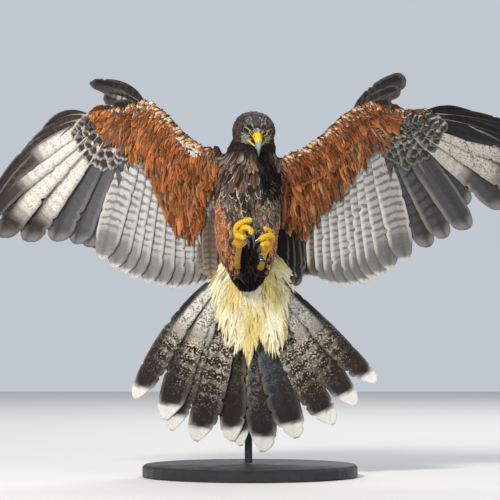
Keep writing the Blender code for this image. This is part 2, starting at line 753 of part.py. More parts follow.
# Trunk, neck and head are one body parted by two level cuts
trunk = make_trunk()
trunk_grown = grown(trunk, GAP)
skull = make_skull()
extras = []
for side, sign in (("right", -1.0), ("left", 1.0)):
    at = head_point(EYE_AT[0], sign * EYE_AT[1], EYE_AT[2])
    look = (at - Vector(HEAD_CENTRE)).normalized()
    look = (look + side_axis * sign * 0.55).normalized()
    extras.append(ring_loop("lid", at + look * 2.6, look, 5.9, LID_THICK))
    brow = tube("brow", [head_point(9.0, sign * 21.5, 15.0), head_point(17.0, sign * 20.5, 16.2),
                         head_point(25.0, sign * 15.5, 13.6), head_point(30.0, sign * 9.0, 10.0)],
                [2.0, 3.6, 3.2, 1.6], 6)
    extras.append(brow)
    gape = tube("gape", [head_point(19.0, sign * 16.5, -2.5), head_point(26.0, sign * 11.5, -3.8),
                         head_point(32.0, sign * 7.0, -4.6)], [1.3, 2.0, 1.4], 5)
    extras.append(gape)
    cheek = ellipsoid("cheek", head_point(6.0, sign * 17.0, -9.0), (14.0, 9.5, 12.0),
                      (forward_axis, side_axis, up_axis), 10, 6)
    extras.append(cheek)
extras.append(ellipsoid("chin", head_point(20.0, 0, -9.0), (15.0, 10.0, 9.0),
                        (forward_axis, side_axis, up_axis), 10, 6))
core = skull
copy = bpy.data.objects.new("trunk_copy", trunk.data.copy())
bpy.context.scene.collection.objects.link(copy)
combine(core, extras + [copy], "UNION")
head_level = Vector((0, 0, HEAD_CUT))
tilt = Vector((0.0, -0.45, 1.0)).normalized()

torso = bpy.data.objects.new("torso", core.data.copy())
bpy.context.scene.collection.objects.link(torso)
neck = bpy.data.objects.new("neck", core.data.copy())
bpy.context.scene.collection.objects.link(neck)
head = core
cut(head, head_level + Vector((0, -20, 0)), -tilt)
cut(neck, head_level + Vector((0, -20, 0)), tilt)
cut(neck, (0, 0, NECK_CUT), (0, 0, -1))
cut(torso, (0, 0, NECK_CUT), (0, 0, 1))
combine(head, hollows, "DIFFERENCE")
for obj, name, mat in ((head, "head", DARK), (cere, "cere", YELLOW),
                       (bill_upper, "bill_upper", BILL), (bill_lower, "bill_lower", BILL),
                       (eyes["right"], "eye_right", EYE), (eyes["left"], "eye_left", EYE)):
    keep_largest(obj)
    finish(obj, name, mat)

# Feathered thighs, shaped before the wings so that the wings keep clear of them
thighs = {}
for side, leg in LEGS.items():
    rings = []
    for point, half_x, half_y in leg["thigh"]:
        ring = []
        for j in range(12):
            angle = 2 * math.pi * j / 12
            ring.append((point[0] + half_x * math.cos(angle), point[1] + half_y * math.sin(angle), point[2]))
        rings.append(ring)
    thighs[side] = loft("thigh", rings)

# Wings: flesh and vanes joined, then parted at the shoulder, elbow and wrist
shoulders = []
for side, wing in WINGS.items():
    sign = wing["sign"]
    flesh = wing_flesh("flesh_" + side, wing)
    groups = wing_feathers(side, wing, rng)
    wrist_at, wrist_out = plane_normal(wing["wrist_line"], sign, 1.0)
    elbow_at, elbow_out = plane_normal(wing["elbow_line"], sign, 1.0)
    shoulder_at = Vector((sign * SHOULDER_CUT, 0, 400))
    shoulder_out = Vector((sign, 0, 0))

    stub = bpy.data.objects.new("stub", flesh.data.copy())
    bpy.context.scene.collection.objects.link(stub)
    cut(stub, shoulder_at, shoulder_out)
    shoulders.append(stub)

    root = wing["alula_root"]
    base = (sign * root[0], -10.0, root[1])
    first = wing["alula_tip"][0]
    thumb = tube("thumb", [(sign * (root[0] - 10), -9.5, root[1] - 6), base,
                           (sign * (root[0] + 12), -11.0, root[1] + 1)], [3.0, 5.0, 2.2], 10)
    thumb_vanes = []
    for i, tip in enumerate(wing["alula_tip"]):
        thumb_vanes.append(vane(
            "alula", (base[0], -11.0 - 0.4 * i, base[2] - 1.5 * i), (sign * tip[0], -13.0 - 1.3 * i, tip[1]),
            ALULA_WIDTH, -sign, bow=0.07, outer_share=0.50, step=(8.0, 14.0)))
    combine(thumb, thumb_vanes, "UNION")
    for part, mat in (("hand", GREY), ("forearm", GREY), ("upper_arm", RUFOUS)):
        body = bpy.data.objects.new(part, flesh.data.copy())
        bpy.context.scene.collection.objects.link(body)
        combine(body, groups[part], "UNION")
        if part == "hand":
            cut(body, wrist_at, -wrist_out)
        if part == "forearm":
            cut(body, wrist_at, wrist_out)
            cut(body, elbow_at, -elbow_out)
        if part == "upper_arm":
            cut(body, elbow_at, elbow_out)
            edge = sign * (SHOULDER_CUT + GAP / 2)
            combine(body, [block((edge, -200, SHOULDER_FOOT), (-sign * 300, 200, 700))], "DIFFERENCE")
            combine(body, [grown(trunk, GAP)], "DIFFERENCE")
            combine(body, [grown(thighs[side], GAP)], "DIFFERENCE")
        keep_largest(body)
        finish(body, part + "_" + side, mat)
    combine(thumb, [grown(flesh, GAP + 0.1)], "DIFFERENCE")
    keep_largest(thumb)
    finish(thumb, "alula_" + side, DARK)
    bpy.data.objects.remove(flesh, do_unlink=True)

combine(neck, [grown(stub, GAP) for stub in shoulders], "DIFFERENCE")
keep_largest(neck)
finish(neck, "neck", DARK)
combine(torso, shoulders, "UNION")
for sign in (-1.0, 1.0):
    cut(torso, (sign * SHOULDER_CUT, 0, 400), (sign, 0, 0))
keep_largest(torso)
finish(torso, "torso", DARK)

# Legs
for side, leg in LEGS.items():
    thigh = thighs[side]
    low = leg["thigh"][-2][0]
    trousers = []
    for k in range(6):
        turn = math.pi * (0.06 + 0.98 * k / 5) + math.pi
        root = (low[0] + 8.0 * math.cos(turn), low[1] + 9.0 * math.sin(turn), low[2] + 10)
        tip = (low[0] + 7.5 * math.cos(turn) + 3.0 * (1 if side == "right" else -1),
               low[1] + 8.0 * math.sin(turn) + 3.0, low[2] - 27 - 4 * math.sin(k * 2.1))
        trousers.append(vane("trouser", root, tip, 9.0, 1.0, outer_share=0.5, step=(9.0, 9.0), shape=COVER_SHAPE))
    combine(thigh, trousers, "UNION")
    hock = Vector(leg["hock"])
    ankle = Vector(leg["ankle"])
    tarsus = tube("tarsus", [hock + Vector((0, 6, -1)), hock + Vector((0, -2, 0)), hock.lerp(ankle, 0.3),
                             hock.lerp(ankle, 0.75), ankle],
                  [4.6, 4.9, TARSUS_RADIUS, TARSUS_RADIUS, 4.4], 9)
    combine(thigh, [grown(tarsus, GAP)], "DIFFERENCE")
    combine(thigh, [grown(trunk, GAP)], "DIFFERENCE")
    keep_largest(thigh)
    finish(thigh, "thigh_" + side, RUFOUS)

    pad_at, pad_radius = leg["pad"]
    foot = ellipsoid("foot", pad_at, (pad_radius, pad_radius * 0.85, pad_radius),
                     (Vector((1, 0, 0)), Vector((0, 1, 0)), Vector((0, 0, 1))), 10, 7)
    toes = []
    for path in leg["toes"]:
        points = smooth_path(path, 2)
        count = len(points)
        radii = []
        for i in range(count):
            t = i / (count - 1)
            swell = 0.28 * math.sin(t * math.pi * 3.0) ** 2
            radii.append(TOE_RADIUS * (1.0 - 0.26 * t + swell * 0.5))
        toes.append(tube("toe", points, radii, 6))
    combine(foot, toes, "UNION")
    claws = []
    for i, path in enumerate(leg["claws"]):
        points = smooth_path(path, 2)
        count = len(points)
        size = CLAW_RADIUS * (1.15 if i == 3 else 1.0)
        radii = [max(0.35, size * (1.0 - (k / (count - 1)) ** 1.3)) for k in range(count)]
        claws.append(tube("claw", points, radii, 6))
    combine(foot, [grown(c, GAP) for c in claws], "DIFFERENCE")
    combine(foot, [grown(tarsus, GAP)], "DIFFERENCE")
    keep_largest(foot)
    keep_largest(tarsus)
    finish(foot, "foot_" + side, YELLOW)
    finish(tarsus, "tarsus_" + side, YELLOW)
    for i, claw in enumerate(claws):
        keep_largest(claw)
        finish(claw, "talon_" + side + "_" + str(i + 1), HORN)

# Tail: short root, 12 rectrices, coverts below and above
tail = ellipsoid("tail", (TAIL_ROOT[0], TAIL_ROOT[1] + 2, TAIL_ROOT[2] - 4), (19.0, 11.0, 25.0),
                 (Vector((1, 0, 0)), Vector((0, 1, 0)), Vector((0, 0, 1))), 18, 12)
pieces = []
for i in range(12):
    across = (i - 5.5) / 5.5
    root = Vector((TAIL_ROOT[0] + TAIL_ROOT_HALF * across, TAIL_ROOT[1] + 2.5, TAIL_ROOT[2]))
    tip = Vector((TAIL_TIP[i][0], TAIL_ROOT[1] + TAIL_LEAN, TAIL_TIP[i][1]))
    inner = 1.0 if i < 6 else -1.0
    depth = 5.5 - abs(i - 5.5)
    tip.y += 1.0 * depth
    root.y += 0.75 * depth
    pieces.append(vane("rectrix", root, tip, TAIL_WIDTH[i], inner, bow=TAIL_BOW[i], sag=3.0,
                       outer_share=0.30 + 0.035 * depth, step=(8.0, 30.0), shape=TAIL_SHAPE))
for row, (count, spread, reach, width, lift) in enumerate(((9, 62.0, 122.0, 28.0, 7.0), (5, 50.0, 78.0, 32.0, 12.0))):
    for k in range(count):
        share = k / (count - 1) * 2 - 1
        turn = math.radians(-4.0 - spread / 2 * share)
        long = reach * (1.0 - 0.12 * share ** 2) * rng.uniform(0.95, 1.05)
        if row == 0 and abs(share) < 0.12:
            long *= 0.88
        root = Vector((TAIL_ROOT[0] + 10.0 * share, TAIL_ROOT[1] - 2.0 - 2.0 * row, TAIL_ROOT[2] - 8 + 4 * row))
        tip = Vector((root.x - long * math.sin(turn), TAIL_ROOT[1] + TAIL_LEAN * 0.4 - lift,
                      root.z - long * math.cos(turn)))
        pieces.append(vane("under_cover", root, tip, width, -1.0 if share > 0 else 1.0, outer_share=0.48,
                           step=(9.0, 12.0), shape=COVER_SHAPE))
for k in range(5):
    share = k / 4 * 2 - 1
    turn = math.radians(3.0 + 27.0 * share)
    root = Vector((TAIL_ROOT[0] + 11.0 * share, TAIL_ROOT[1] + 8.0, TAIL_ROOT[2] - 2))
    tip = Vector((root.x + 84.0 * math.sin(turn), TAIL_ROOT[1] + TAIL_LEAN * 0.4 + 9.0, root.z - 84.0 * math.cos(turn)))
    pieces.append(vane("upper_cover", root, tip, 28.0, 1.0, outer_share=0.48, step=(9.0, 12.0), shape=COVER_SHAPE))
combine(tail, pieces, "UNION")
combine(tail, [grown(trunk, GAP)], "DIFFERENCE")
keep_largest(tail)
finish(tail, "tail", CREAM)

# Stand
profile = [(BASE_RADIUS - BASE_EDGE, 0.0), (BASE_RADIUS, 1.2), (BASE_RADIUS, BASE_HEIGHT - BASE_EDGE),
           (BASE_RADIUS - BASE_EDGE, BASE_HEIGHT)]
base_rings = []
for radius, z in profile:
    base_rings.append([(radius * math.cos(2 * math.pi * j / 40), radius * math.sin(2 * math.pi * j / 40), z)
                       for j in range(40)])
base = loft("base", base_rings)
rod_path = [(-2.0, ROD_BACK, 6.0), (-2.0, ROD_BACK, 150.0), (-2.0, ROD_BACK, 318.0), (-2.0, ROD_BACK - 2.5, 334.0),
            (-2.0, ROD_BACK - 9.0, 347.0), (-2.0, ROD_BACK - 19.0, 356.0), (-2.0, ROD_BACK - 32.0, 361.0)]
rod = tube("rod", rod_path, [ROD_RADIUS] * len(rod_path), 16)
combine(rod, [trunk_grown], "DIFFERENCE")
combine(base, [grown(rod, GAP)], "DIFFERENCE")
keep_largest(rod)
keep_largest(base)
finish(rod, "stand_rod", STAND)
finish(base, "stand_base", STAND)
bpy.data.objects.remove(trunk, do_unlink=True)

for obj in bpy.context.scene.objects:
    for poly in obj.data.polygons:
        poly.use_smooth = False
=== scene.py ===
"""Harris hawk braking in the air, a life-size display model on a bent-rod stand.

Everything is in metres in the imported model's frame: the hawk faces -Y, +Z is up
and its right wing is on the -X side.
"""
import itertools
import math

import bmesh
import bpy
import numpy as np
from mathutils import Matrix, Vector
from mathutils.bvhtree import BVHTree


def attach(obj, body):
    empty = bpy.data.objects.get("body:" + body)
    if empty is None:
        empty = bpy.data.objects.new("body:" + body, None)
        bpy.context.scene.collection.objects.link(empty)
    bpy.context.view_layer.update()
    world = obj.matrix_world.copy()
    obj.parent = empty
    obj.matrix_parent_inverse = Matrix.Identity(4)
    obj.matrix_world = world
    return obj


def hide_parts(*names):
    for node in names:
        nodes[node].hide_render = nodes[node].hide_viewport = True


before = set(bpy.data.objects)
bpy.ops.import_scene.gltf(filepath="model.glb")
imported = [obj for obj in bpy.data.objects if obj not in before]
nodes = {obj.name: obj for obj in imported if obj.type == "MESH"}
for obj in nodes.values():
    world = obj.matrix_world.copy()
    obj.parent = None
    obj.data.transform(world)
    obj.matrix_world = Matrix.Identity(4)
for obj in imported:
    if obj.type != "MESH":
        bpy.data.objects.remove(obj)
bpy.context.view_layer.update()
MM = 0.001

# Camera, floor and light.
# The hawk is seen level and square from the front, as through a long lens that
# takes in 0.65 m of its width; both wing tips run out of the picture.
VIEW_WIDTH = 0.650
VIEW_DISTANCE = 5.0
VIEW_CENTRE = (0.0, 0.2948)
bpy.ops.object.camera_add(location=(VIEW_CENTRE[0], -VIEW_DISTANCE, VIEW_CENTRE[1]),
                          rotation=(math.pi / 2, 0, 0))
camera = bpy.context.object
camera.data.sensor_width = 36.0
camera.data.lens = 36.0 * VIEW_DISTANCE / VIEW_WIDTH
camera.data.clip_end = 60.0
bpy.context.scene.camera = camera
bpy.context.scene.view_settings.view_transform = "Standard"

world = bpy.data.worlds.new("studio_air")
bpy.context.scene.world = world
world.use_nodes = True
backdrop = world.node_tree.nodes["Background"]
backdrop.inputs["Color"].default_value = (0.80, 0.87, 0.95, 1.0)
# the backdrop looks pale to the camera and lights the hawk more weakly
BACKDROP_LIGHT, BACKDROP_SEEN = 0.40, 0.66
sight = world.node_tree.nodes.new("ShaderNodeLightPath")
level = world.node_tree.nodes.new("ShaderNodeMapRange")
level.inputs["To Min"].default_value = BACKDROP_LIGHT
level.inputs["To Max"].default_value = BACKDROP_SEEN
world.node_tree.links.new(sight.outputs["Is Camera Ray"], level.inputs["Value"])
world.node_tree.links.new(level.outputs["Result"], backdrop.inputs["Strength"])

bpy.ops.mesh.primitive_plane_add(size=9.0, location=(0, -1.5, 0))
floor = bpy.context.object
floor.name = "studio_floor"
floor.data.transform(floor.matrix_world)
floor.location = (0, 0, 0)
floor_paint = bpy.data.materials.new("floor_paint")
floor_paint.use_nodes = True
floor_shader = floor_paint.node_tree.nodes["Principled BSDF"]
floor_shader.inputs["Base Color"].default_value = (0.80, 0.80, 0.79, 1.0)
floor_shader.inputs["Roughness"].default_value = 0.9
floor.data.materials.append(floor_paint)


def soft_light(name, place, aim, size, power, colour):
    """Square studio light turned towards a point."""
    bpy.ops.object.light_add(type="AREA", location=place)
    lamp = bpy.context.object
    lamp.name = name
    lamp.data.shape = "SQUARE"
    lamp.data.size = size
    lamp.data.energy = power
    lamp.data.color = colour
    lamp.rotation_euler = (Vector(aim) - Vector(place)).to_track_quat("-Z", "Y").to_euler()


soft_light("key", (-1.3, -2.1, 1.9), (0.0, 0.0, 0.30), 0.55, 84.0, (1.0, 0.95, 0.88))
soft_light("fill", (1.9, -2.0, 0.7), (0.0, 0.0, 0.30), 1.6, 12.0, (0.90, 0.95, 1.0))
soft_light("rim", (0.5, 1.8, 1.8), (0.0, 0.0, 0.35), 1.2, 26.0, (1.0, 0.98, 0.95))

# Body skin.
# One closed skin lies under the feathers from head to thighs and out to the
# wrists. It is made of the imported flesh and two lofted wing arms, melted
# together, smoothed and drawn in by the depth of the plumage.
ARMS = {
    "right": (-1.0, [
        ((18, 416), (18, 374), 26.0, -4.0), ((46, 423), (50, 378), 25.0, -4.0),
                     ((66, 434), (80, 392), 21.0, -4.5),
        ((90, 452), (98, 411), 17.5, -5.5), ((109, 473), (118, 437), 14.5, -7.0),
                     ((129, 488), (139, 460), 12.5, -8.0),
        ((150, 483), (158, 461), 11.0, -8.0), ((180, 477), (183, 459), 8.5, -7.5),
                     ((208, 474), (208, 463), 5.5, -7.0),
    ]),
    "left": (1.0, [
        ((18, 414), (18, 374), 26.0, -4.0), ((46, 416), (50, 376), 25.0, -4.0),
                   ((70, 429), (90, 390), 21.0, -4.5),
        ((98, 450), (110, 409), 17.5, -5.5), ((118, 470), (131, 435), 14.5, -7.0),
                   ((142, 486), (155, 459), 12.5, -8.0),
        ((166, 479), (174, 457), 11.0, -8.0), ((198, 478), (201, 457), 8.5, -7.5),
                   ((228, 482), (228, 465), 5.5, -7.0),
    ]),
}
ARM_SECTION = [(0.0, 0.0), (0.05, 0.30), (0.22, 0.50), (0.5, 0.46), (0.8, 0.26), (1.0, 0.06)]
THIGHS = {
    "right": [((-25, -20, 380), 13, 13), ((-27, -27, 358), 17.5, 18), ((-29, -30, 330), 17.5, 19),
              ((-28, -30, 300), 16.5, 18), ((-24, -28, 276), 12, 13.5), ((-20, -27, 262), 6.5, 8)],
    "left": [((20, -20, 380), 13, 13), ((20, -27, 356), 16.5, 18), ((20, -30, 328), 16.5, 19),
             ((20, -30, 298), 15.5, 18), ((18, -28, 274), 11.5, 13.5), ((16, -27, 260), 6.5, 8)],
}
SKIN_VOXEL = 0.0015
COAT_DEPTH = 0.0022


def add_mesh(name, verts, faces):
    mesh = bpy.data.meshes.new(name)
    mesh.from_pydata([tuple(v) for v in verts], [], faces)
    mesh.update()
    obj = bpy.data.objects.new(name, mesh)
    bpy.context.scene.collection.objects.link(obj)
    return obj


def add_closed(name, verts, faces):
    """Adds a closed mesh with its faces turned outwards."""
    obj = add_mesh(name, verts, faces)
    bm = bmesh.new()
    bm.from_mesh(obj.data)
    bmesh.ops.recalc_face_normals(bm, faces=bm.faces)
    bm.to_mesh(obj.data)
    bm.free()
    return obj


def turns(count):
    """Equal steps of angle round a ring."""
    return np.linspace(0, 2 * math.pi, count, endpoint=False)


def loft(name, rings):
    """Closed skin over rings of equal count, given in millimetres."""
    count = len(rings[0])
    verts = [Vector(p) * MM for ring in rings for p in ring]
    faces = []
    for i in range(len(rings) - 1):
        for j in range(count):
            a = i * count + j
            b = i * count + (j + 1) % count
            faces.append((a, b, b + count, a + count))
    faces.append(tuple(range(count)))
    faces.append(tuple(range(len(verts) - count, len(verts))))
    return add_closed(name, verts, faces)


def apply_modifier(obj, kind, **values):
    """Adds one modifier with its settings and makes it part of the mesh."""
    mod = obj.modifiers.new(kind.lower(), kind)
    for key, value in values.items():
        setattr(mod, key, value)
    bpy.ops.object.select_all(action="DESELECT")
    bpy.context.view_layer.objects.active = obj
    obj.select_set(True)
    bpy.ops.object.modifier_apply(modifier=mod.name)


def join(name, objects):
    """Joins meshes into the first of them."""
    bpy.ops.object.select_all(action="DESELECT")
    for obj in objects:
        obj.select_set(True)
    bpy.context.view_layer.objects.active = objects[0]
    bpy.ops.object.join()
    objects[0].name = name
    return objects[0]


flesh = []
for node in ("head", "neck", "torso", "eye_right", "eye_left"):
    piece = add_mesh(node + "_flesh", [v.co for v in nodes[node].data.vertices],
                     [tuple(p.vertices) for p in nodes[node].data.polygons])
    bm = bmesh.new()
    bm.from_mesh(piece.data)
    bmesh.ops.remove_doubles(bm, verts=bm.verts, dist=0.000001)
    bm.to_mesh(piece.data)
    bm.free()
    flesh.append(piece)
for sign, stations in ARMS.values():
    rings = []
    for lead, trail, thick, depth in stations:
        spots = ARM_SECTION + [(s, -h) for s, h in reversed(ARM_SECTION[1:])]
        rings.append([(sign * (lead[0] + (trail[0] - lead[0]) * s), depth - thick * h,
                       lead[1] + (trail[1] - lead[1]) * s) for s, h in spots])
    flesh.append(loft("arm_flesh", rings))
for stations in THIGHS.values():
    rings = []
    for centre, wide, shaded_layer in stations:
        rings.append([(centre[0] + wide * math.cos(a), centre[1] + shaded_layer * math.sin(a), centre[2])
                      for a in turns(16)])
    flesh.append(loft("thigh_flesh", rings))
skin = join("body_skin", flesh)
apply_modifier(skin, "REMESH", mode="VOXEL", voxel_size=SKIN_VOXEL)
apply_modifier(skin, "SMOOTH", factor=0.6, iterations=8)
bm = bmesh.new()
bm.from_mesh(skin.data)
bm.normal_update()
for vert in bm.verts:
    depth = COAT_DEPTH
    if vert.co.z > 0.425 and abs(vert.co.x) < 0.05:
        depth = COAT_DEPTH * 0.55
    vert.co -= vert.normal * depth
bm.to_mesh(skin.data)
bm.free()
for poly in skin.data.polygons:
    poly.use_smooth = True
skin_tree = BVHTree.FromObject(skin, bpy.context.evaluated_depsgraph_get())


def material(name, rough, specular=0.3):
    """New principled material and its node tree, ready for a colour pattern."""
    mat = bpy.data.materials.new(name)
    mat.use_nodes = True
    shader = mat.node_tree.nodes["Principled BSDF"]
    shader.inputs["Roughness"].default_value = rough
    shader.inputs["Specular IOR Level"].default_value = specular
    return mat, mat.node_tree, shader


def noise(tree, scale, detail=3.0):
    """Noise on Object coordinates, as a factor output."""
    node = tree.nodes.new("ShaderNodeTexNoise")
    node.inputs["Scale"].default_value = scale
    node.inputs["Detail"].default_value = detail
    place = tree.nodes.new("ShaderNodeTexCoord")
    tree.links.new(place.outputs["Object"], node.inputs["Vector"])
    return node.outputs["Fac"]


def blend(tree, factor, one, other):
    """Colour mix; each of one and other is a socket or a plain colour."""
    node = tree.nodes.new("ShaderNodeMix")
    node.data_type = "RGBA"
    tree.links.new(factor, node.inputs[0])
    for slot, value in ((6, one), (7, other)):
        if isinstance(value, tuple):
            node.inputs[slot].default_value = value + (1.0,) if len(value) == 3 else value
        else:
            tree.links.new(value, node.inputs[slot])
    return node.outputs[2]


def sums(tree, kind, one, other=0.0):
    """One arithmetic step; inputs are sockets or numbers."""
    node = tree.nodes.new("ShaderNodeMath")
    node.operation = kind
    for slot, value in enumerate((one, other)):
        if isinstance(value, (int, float)):
            node.inputs[slot].default_value = value
        else:
            tree.links.new(value, node.inputs[slot])
    return node.outputs[0]


def ramp(tree, value, low, high, start=0.0, end=1.0):
    """Smooth step of a value between two limits."""
    node = tree.nodes.new("ShaderNodeMapRange")
    node.interpolation_type = "SMOOTHSTEP"
    for name, number in (("From Min", low), ("From Max", high), ("To Min", start), ("To Max", end)):
        node.inputs[name].default_value = number
    tree.links.new(value, node.inputs["Value"])
    return node.outputs["Result"]


def attribute(tree, name, output="Color"):
    """Output of a colour note kept at the mesh's points."""
    node = tree.nodes.new("ShaderNodeAttribute")
    node.attribute_name = name
    return node.outputs[output]


def bump(tree, shader, height, strength, distance):
    """Fine relief under the shader's normal."""
    node = tree.nodes.new("ShaderNodeBump")
    node.inputs["Strength"].default_value = strength
    node.inputs["Distance"].default_value = distance
    tree.links.new(height, node.inputs["Height"])
    tree.links.new(node.outputs["Normal"], shader.inputs["Normal"])


# Skin and down under the feathers: chestnut in the wing arms and on the
# front of the lower body by the thighs, mottled near black and dark brown elsewhere.
skin_look, tree, shader = material("skin_down", 0.85)
position = tree.nodes.new("ShaderNodeTexCoord").outputs["Object"]
split = tree.nodes.new("ShaderNodeSeparateXYZ")
tree.links.new(position, split.inputs[0])
side_way = sums(tree, "ABSOLUTE", split.outputs["X"])
arm_zone = ramp(tree, side_way, 0.056, 0.068)
thigh_zone = sums(tree, "MULTIPLY", ramp(tree, split.outputs["Y"], -0.024, -0.036),
                  ramp(tree, split.outputs["Z"], 0.375, 0.355))
rufous_zone = sums(tree, "MAXIMUM", arm_zone, thigh_zone)
ground = blend(tree, noise(tree, 260.0), (0.020, 0.013, 0.010), (0.050, 0.034, 0.026))
ground = blend(tree, rufous_zone, ground, (0.16, 0.045, 0.016))
tree.links.new(ground, shader.inputs["Base Color"])
bump(tree, shader, noise(tree, 900.0), 0.4, 0.0006)
skin.data.materials.append(skin_look)
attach(skin, "root")

# Feathers.
# Every feather is a thin closed vane with a curved shaft line. Its points carry
# four colour notes: the ground, the rim (alpha is how strong), the marks (shaft
# streak, bars, speckle and, in alpha, how many bars) and the ink of the marks
# (alpha is how much of the vane they cover).
VANE_NOTES = ("tint", "rim", "mark", "ink")
DARK_INK = (0.045, 0.036, 0.032, 0.45)


class Coat:
    """Many feathers gathered into one mesh."""

    def __init__(self):
        self.points, self.faces, self.uv, self.patch = [], [], [], []
        self.notes = {name: [] for name in VANE_NOTES}
        self.count = 0

    def note(self, values, n, wide, points=None):
        """Keeps the colour notes of one feather. Each is one colour, one a row, one a
        point, or one a row or point of the back face and then of the under face."""
        for name, value in zip(VANE_NOTES, values):
            value = np.asarray(value, float)
            if value.ndim == 1:
                value = np.tile(value, (2 * n * wide, 1))
            elif len(value) == n:
                value = np.tile(np.repeat(value, wide, 0), (2, 1))
            elif len(value) == 2 * n:
                value = np.repeat(value, wide, 0)
            elif len(value) == n * wide:
                value = np.tile(value, (2, 1))
            self.notes[name].append(value[:points])

    def add(self, centre, across, normal, left, right, thick, camber, notes, patch, wide=3):
        """One feather. centre, across and normal are n x 3; left, right and thick n;
        patch gives the corner and size of its baked place and the step to its other face."""
        n = len(centre)
        q = np.linspace(-1.0, 1.0, wide)
        half = np.where(q[None, :] < 0, left[:, None], right[:, None])
        reach = q[None, :] * half
        drop = camber * (q[None, :] ** 2) * half
        body = (1.0 - 0.75 * np.abs(q[None, :]) ** 2) * thick[:, None] * 0.5
        base = centre[:, None, :] + across[:, None, :] * reach[:, :, None]
        base = base - normal[:, None, :] * drop[:, :, None]
        top = base + normal[:, None, :] * body[:, :, None]
        low = base - normal[:, None, :] * body[:, :, None]
        self.points.append(np.concatenate([top.reshape(-1, 3), low.reshape(-1, 3)]))
        grid = np.arange(n * wide).reshape(n, wide)
        a, b = grid[:-1, :-1].ravel(), grid[:-1, 1:].ravel()
        c, d = grid[1:, 1:].ravel(), grid[1:, :-1].ravel()
        shift = n * wide
        upper = np.stack([a, b, c, d], 1)
        lower = np.stack([d, c, b, a], 1) + shift
        e0, e1 = grid[:-1, 0], grid[1:, 0]
        left_rim = np.stack([e0, e1, e1 + shift, e0 + shift], 1)
        e0, e1 = grid[:-1, -1], grid[1:, -1]
        right_rim = np.stack([e1, e0, e0 + shift, e1 + shift], 1)
        e0, e1 = grid[0, :-1], grid[0, 1:]
        root_rim = np.stack([e1, e0, e0 + shift, e1 + shift], 1)
        e0, e1 = grid[-1, :-1], grid[-1, 1:]
        tip_rim = np.stack([e0, e1, e1 + shift, e0 + shift], 1)
        faces = np.concatenate([upper, lower, left_rim, right_rim, root_rim, tip_rim])
        k = n // 2
        if np.cross(across[k], centre[k + 1 if k + 1 < n else k] - centre[k - 1]) @ normal[k] < 0:
            faces = faces[:, ::-1]
        self.faces.append(faces + self.count)
        v = np.linspace(0.0, 1.0, n)
        u = (q + 1) / 2
        uv = np.stack(np.meshgrid(u, v), -1).reshape(-1, 2)
        self.uv.append(np.concatenate([uv, uv]))
        x, y, w, h, gap = patch
        bake = np.stack([x + uv[:, 0] * w, y + uv[:, 1] * h], 1)
        self.patch.append(np.concatenate([bake, bake + np.array([gap, 0.0])]))
        self.note(notes, n, wide)
        self.count += 2 * n * wide

    def rod(self, centre, across, normal, radius, colour, patch):
        """A feather's shaft: a four-sided rod along its centre line."""
        n = len(centre)
        ring = [across * radius[:, None], normal * radius[:, None], -across * radius[:, None],
                -normal * radius[:, None]]
        self.points.append(np.stack([centre + part for part in ring], 1).reshape(-1, 3))
        grid = np.arange(n * 4).reshape(n, 4)
        quads = []
        for j in range(4):
            k = (j + 1) % 4
            quads.append(np.stack([grid[:-1, j], grid[:-1, k], grid[1:, k], grid[1:, j]], 1))
        quads.append(grid[0:1, ::-1])
        quads.append(grid[-1:, :])
        faces = np.concatenate(quads)
        m = n // 2
        if np.cross(across[m], normal[m]) @ (centre[m + 1] - centre[m - 1]) < 0:
            faces = faces[:, ::-1]
        self.faces.append(faces + self.count)
        uv = np.stack([np.full(n * 4, 0.5), np.repeat(np.linspace(0, 0.88, n), 4)], 1)
        self.uv.append(uv)
        self.patch.append(np.stack([patch[0] + uv[:, 0] * patch[2], patch[1] + uv[:, 1] * patch[3]], 1))
        self.note((np.repeat(colour, 4, 0), (0, 0, 0, 0), (0, 0, 0, 1), DARK_INK), n, 4, n * 4)
        self.count += n * 4

    def build(self, name, look, slot):
        """Makes the piece, with one vane's unwrap and a baked place for each feather."""
        points = np.concatenate(self.points)
        faces = np.concatenate(self.faces)
        mesh = bpy.data.meshes.new(name)
        mesh.vertices.add(len(points))
        mesh.vertices.foreach_set("co", points.ravel())
        mesh.loops.add(faces.size)
        mesh.loops.foreach_set("vertex_index", faces.ravel())
        mesh.polygons.add(len(faces))
        mesh.polygons.foreach_set("loop_start", np.arange(0, faces.size, 4))
        mesh.polygons.foreach_set("use_smooth", np.ones(len(faces), bool))
        mesh.update(calc_edges=True)
        for label, store in (("UVMap", self.uv), ("OFBake", self.patch)):
            layer = mesh.uv_layers.new(name=label)
            layer.data.foreach_set("uv", np.concatenate(store)[faces.ravel()].ravel())
        mesh.uv_layers.active = mesh.uv_layers["UVMap"]
        for label, store in self.notes.items():
            layer = mesh.attributes.new(label, "FLOAT_COLOR", "POINT")
            layer.data.foreach_set("color", np.concatenate(store).ravel())
        obj = bpy.data.objects.new(name, mesh)
        bpy.context.scene.collection.objects.link(obj)
        mesh.materials.append(look)
        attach(obj, "root")
        return obj


def swing(tree, value, amount):
    """How far a value strays from one half, times an amount."""
    return sums(tree, "MULTIPLY", sums(tree, "SUBTRACT", value, 0.5), amount)


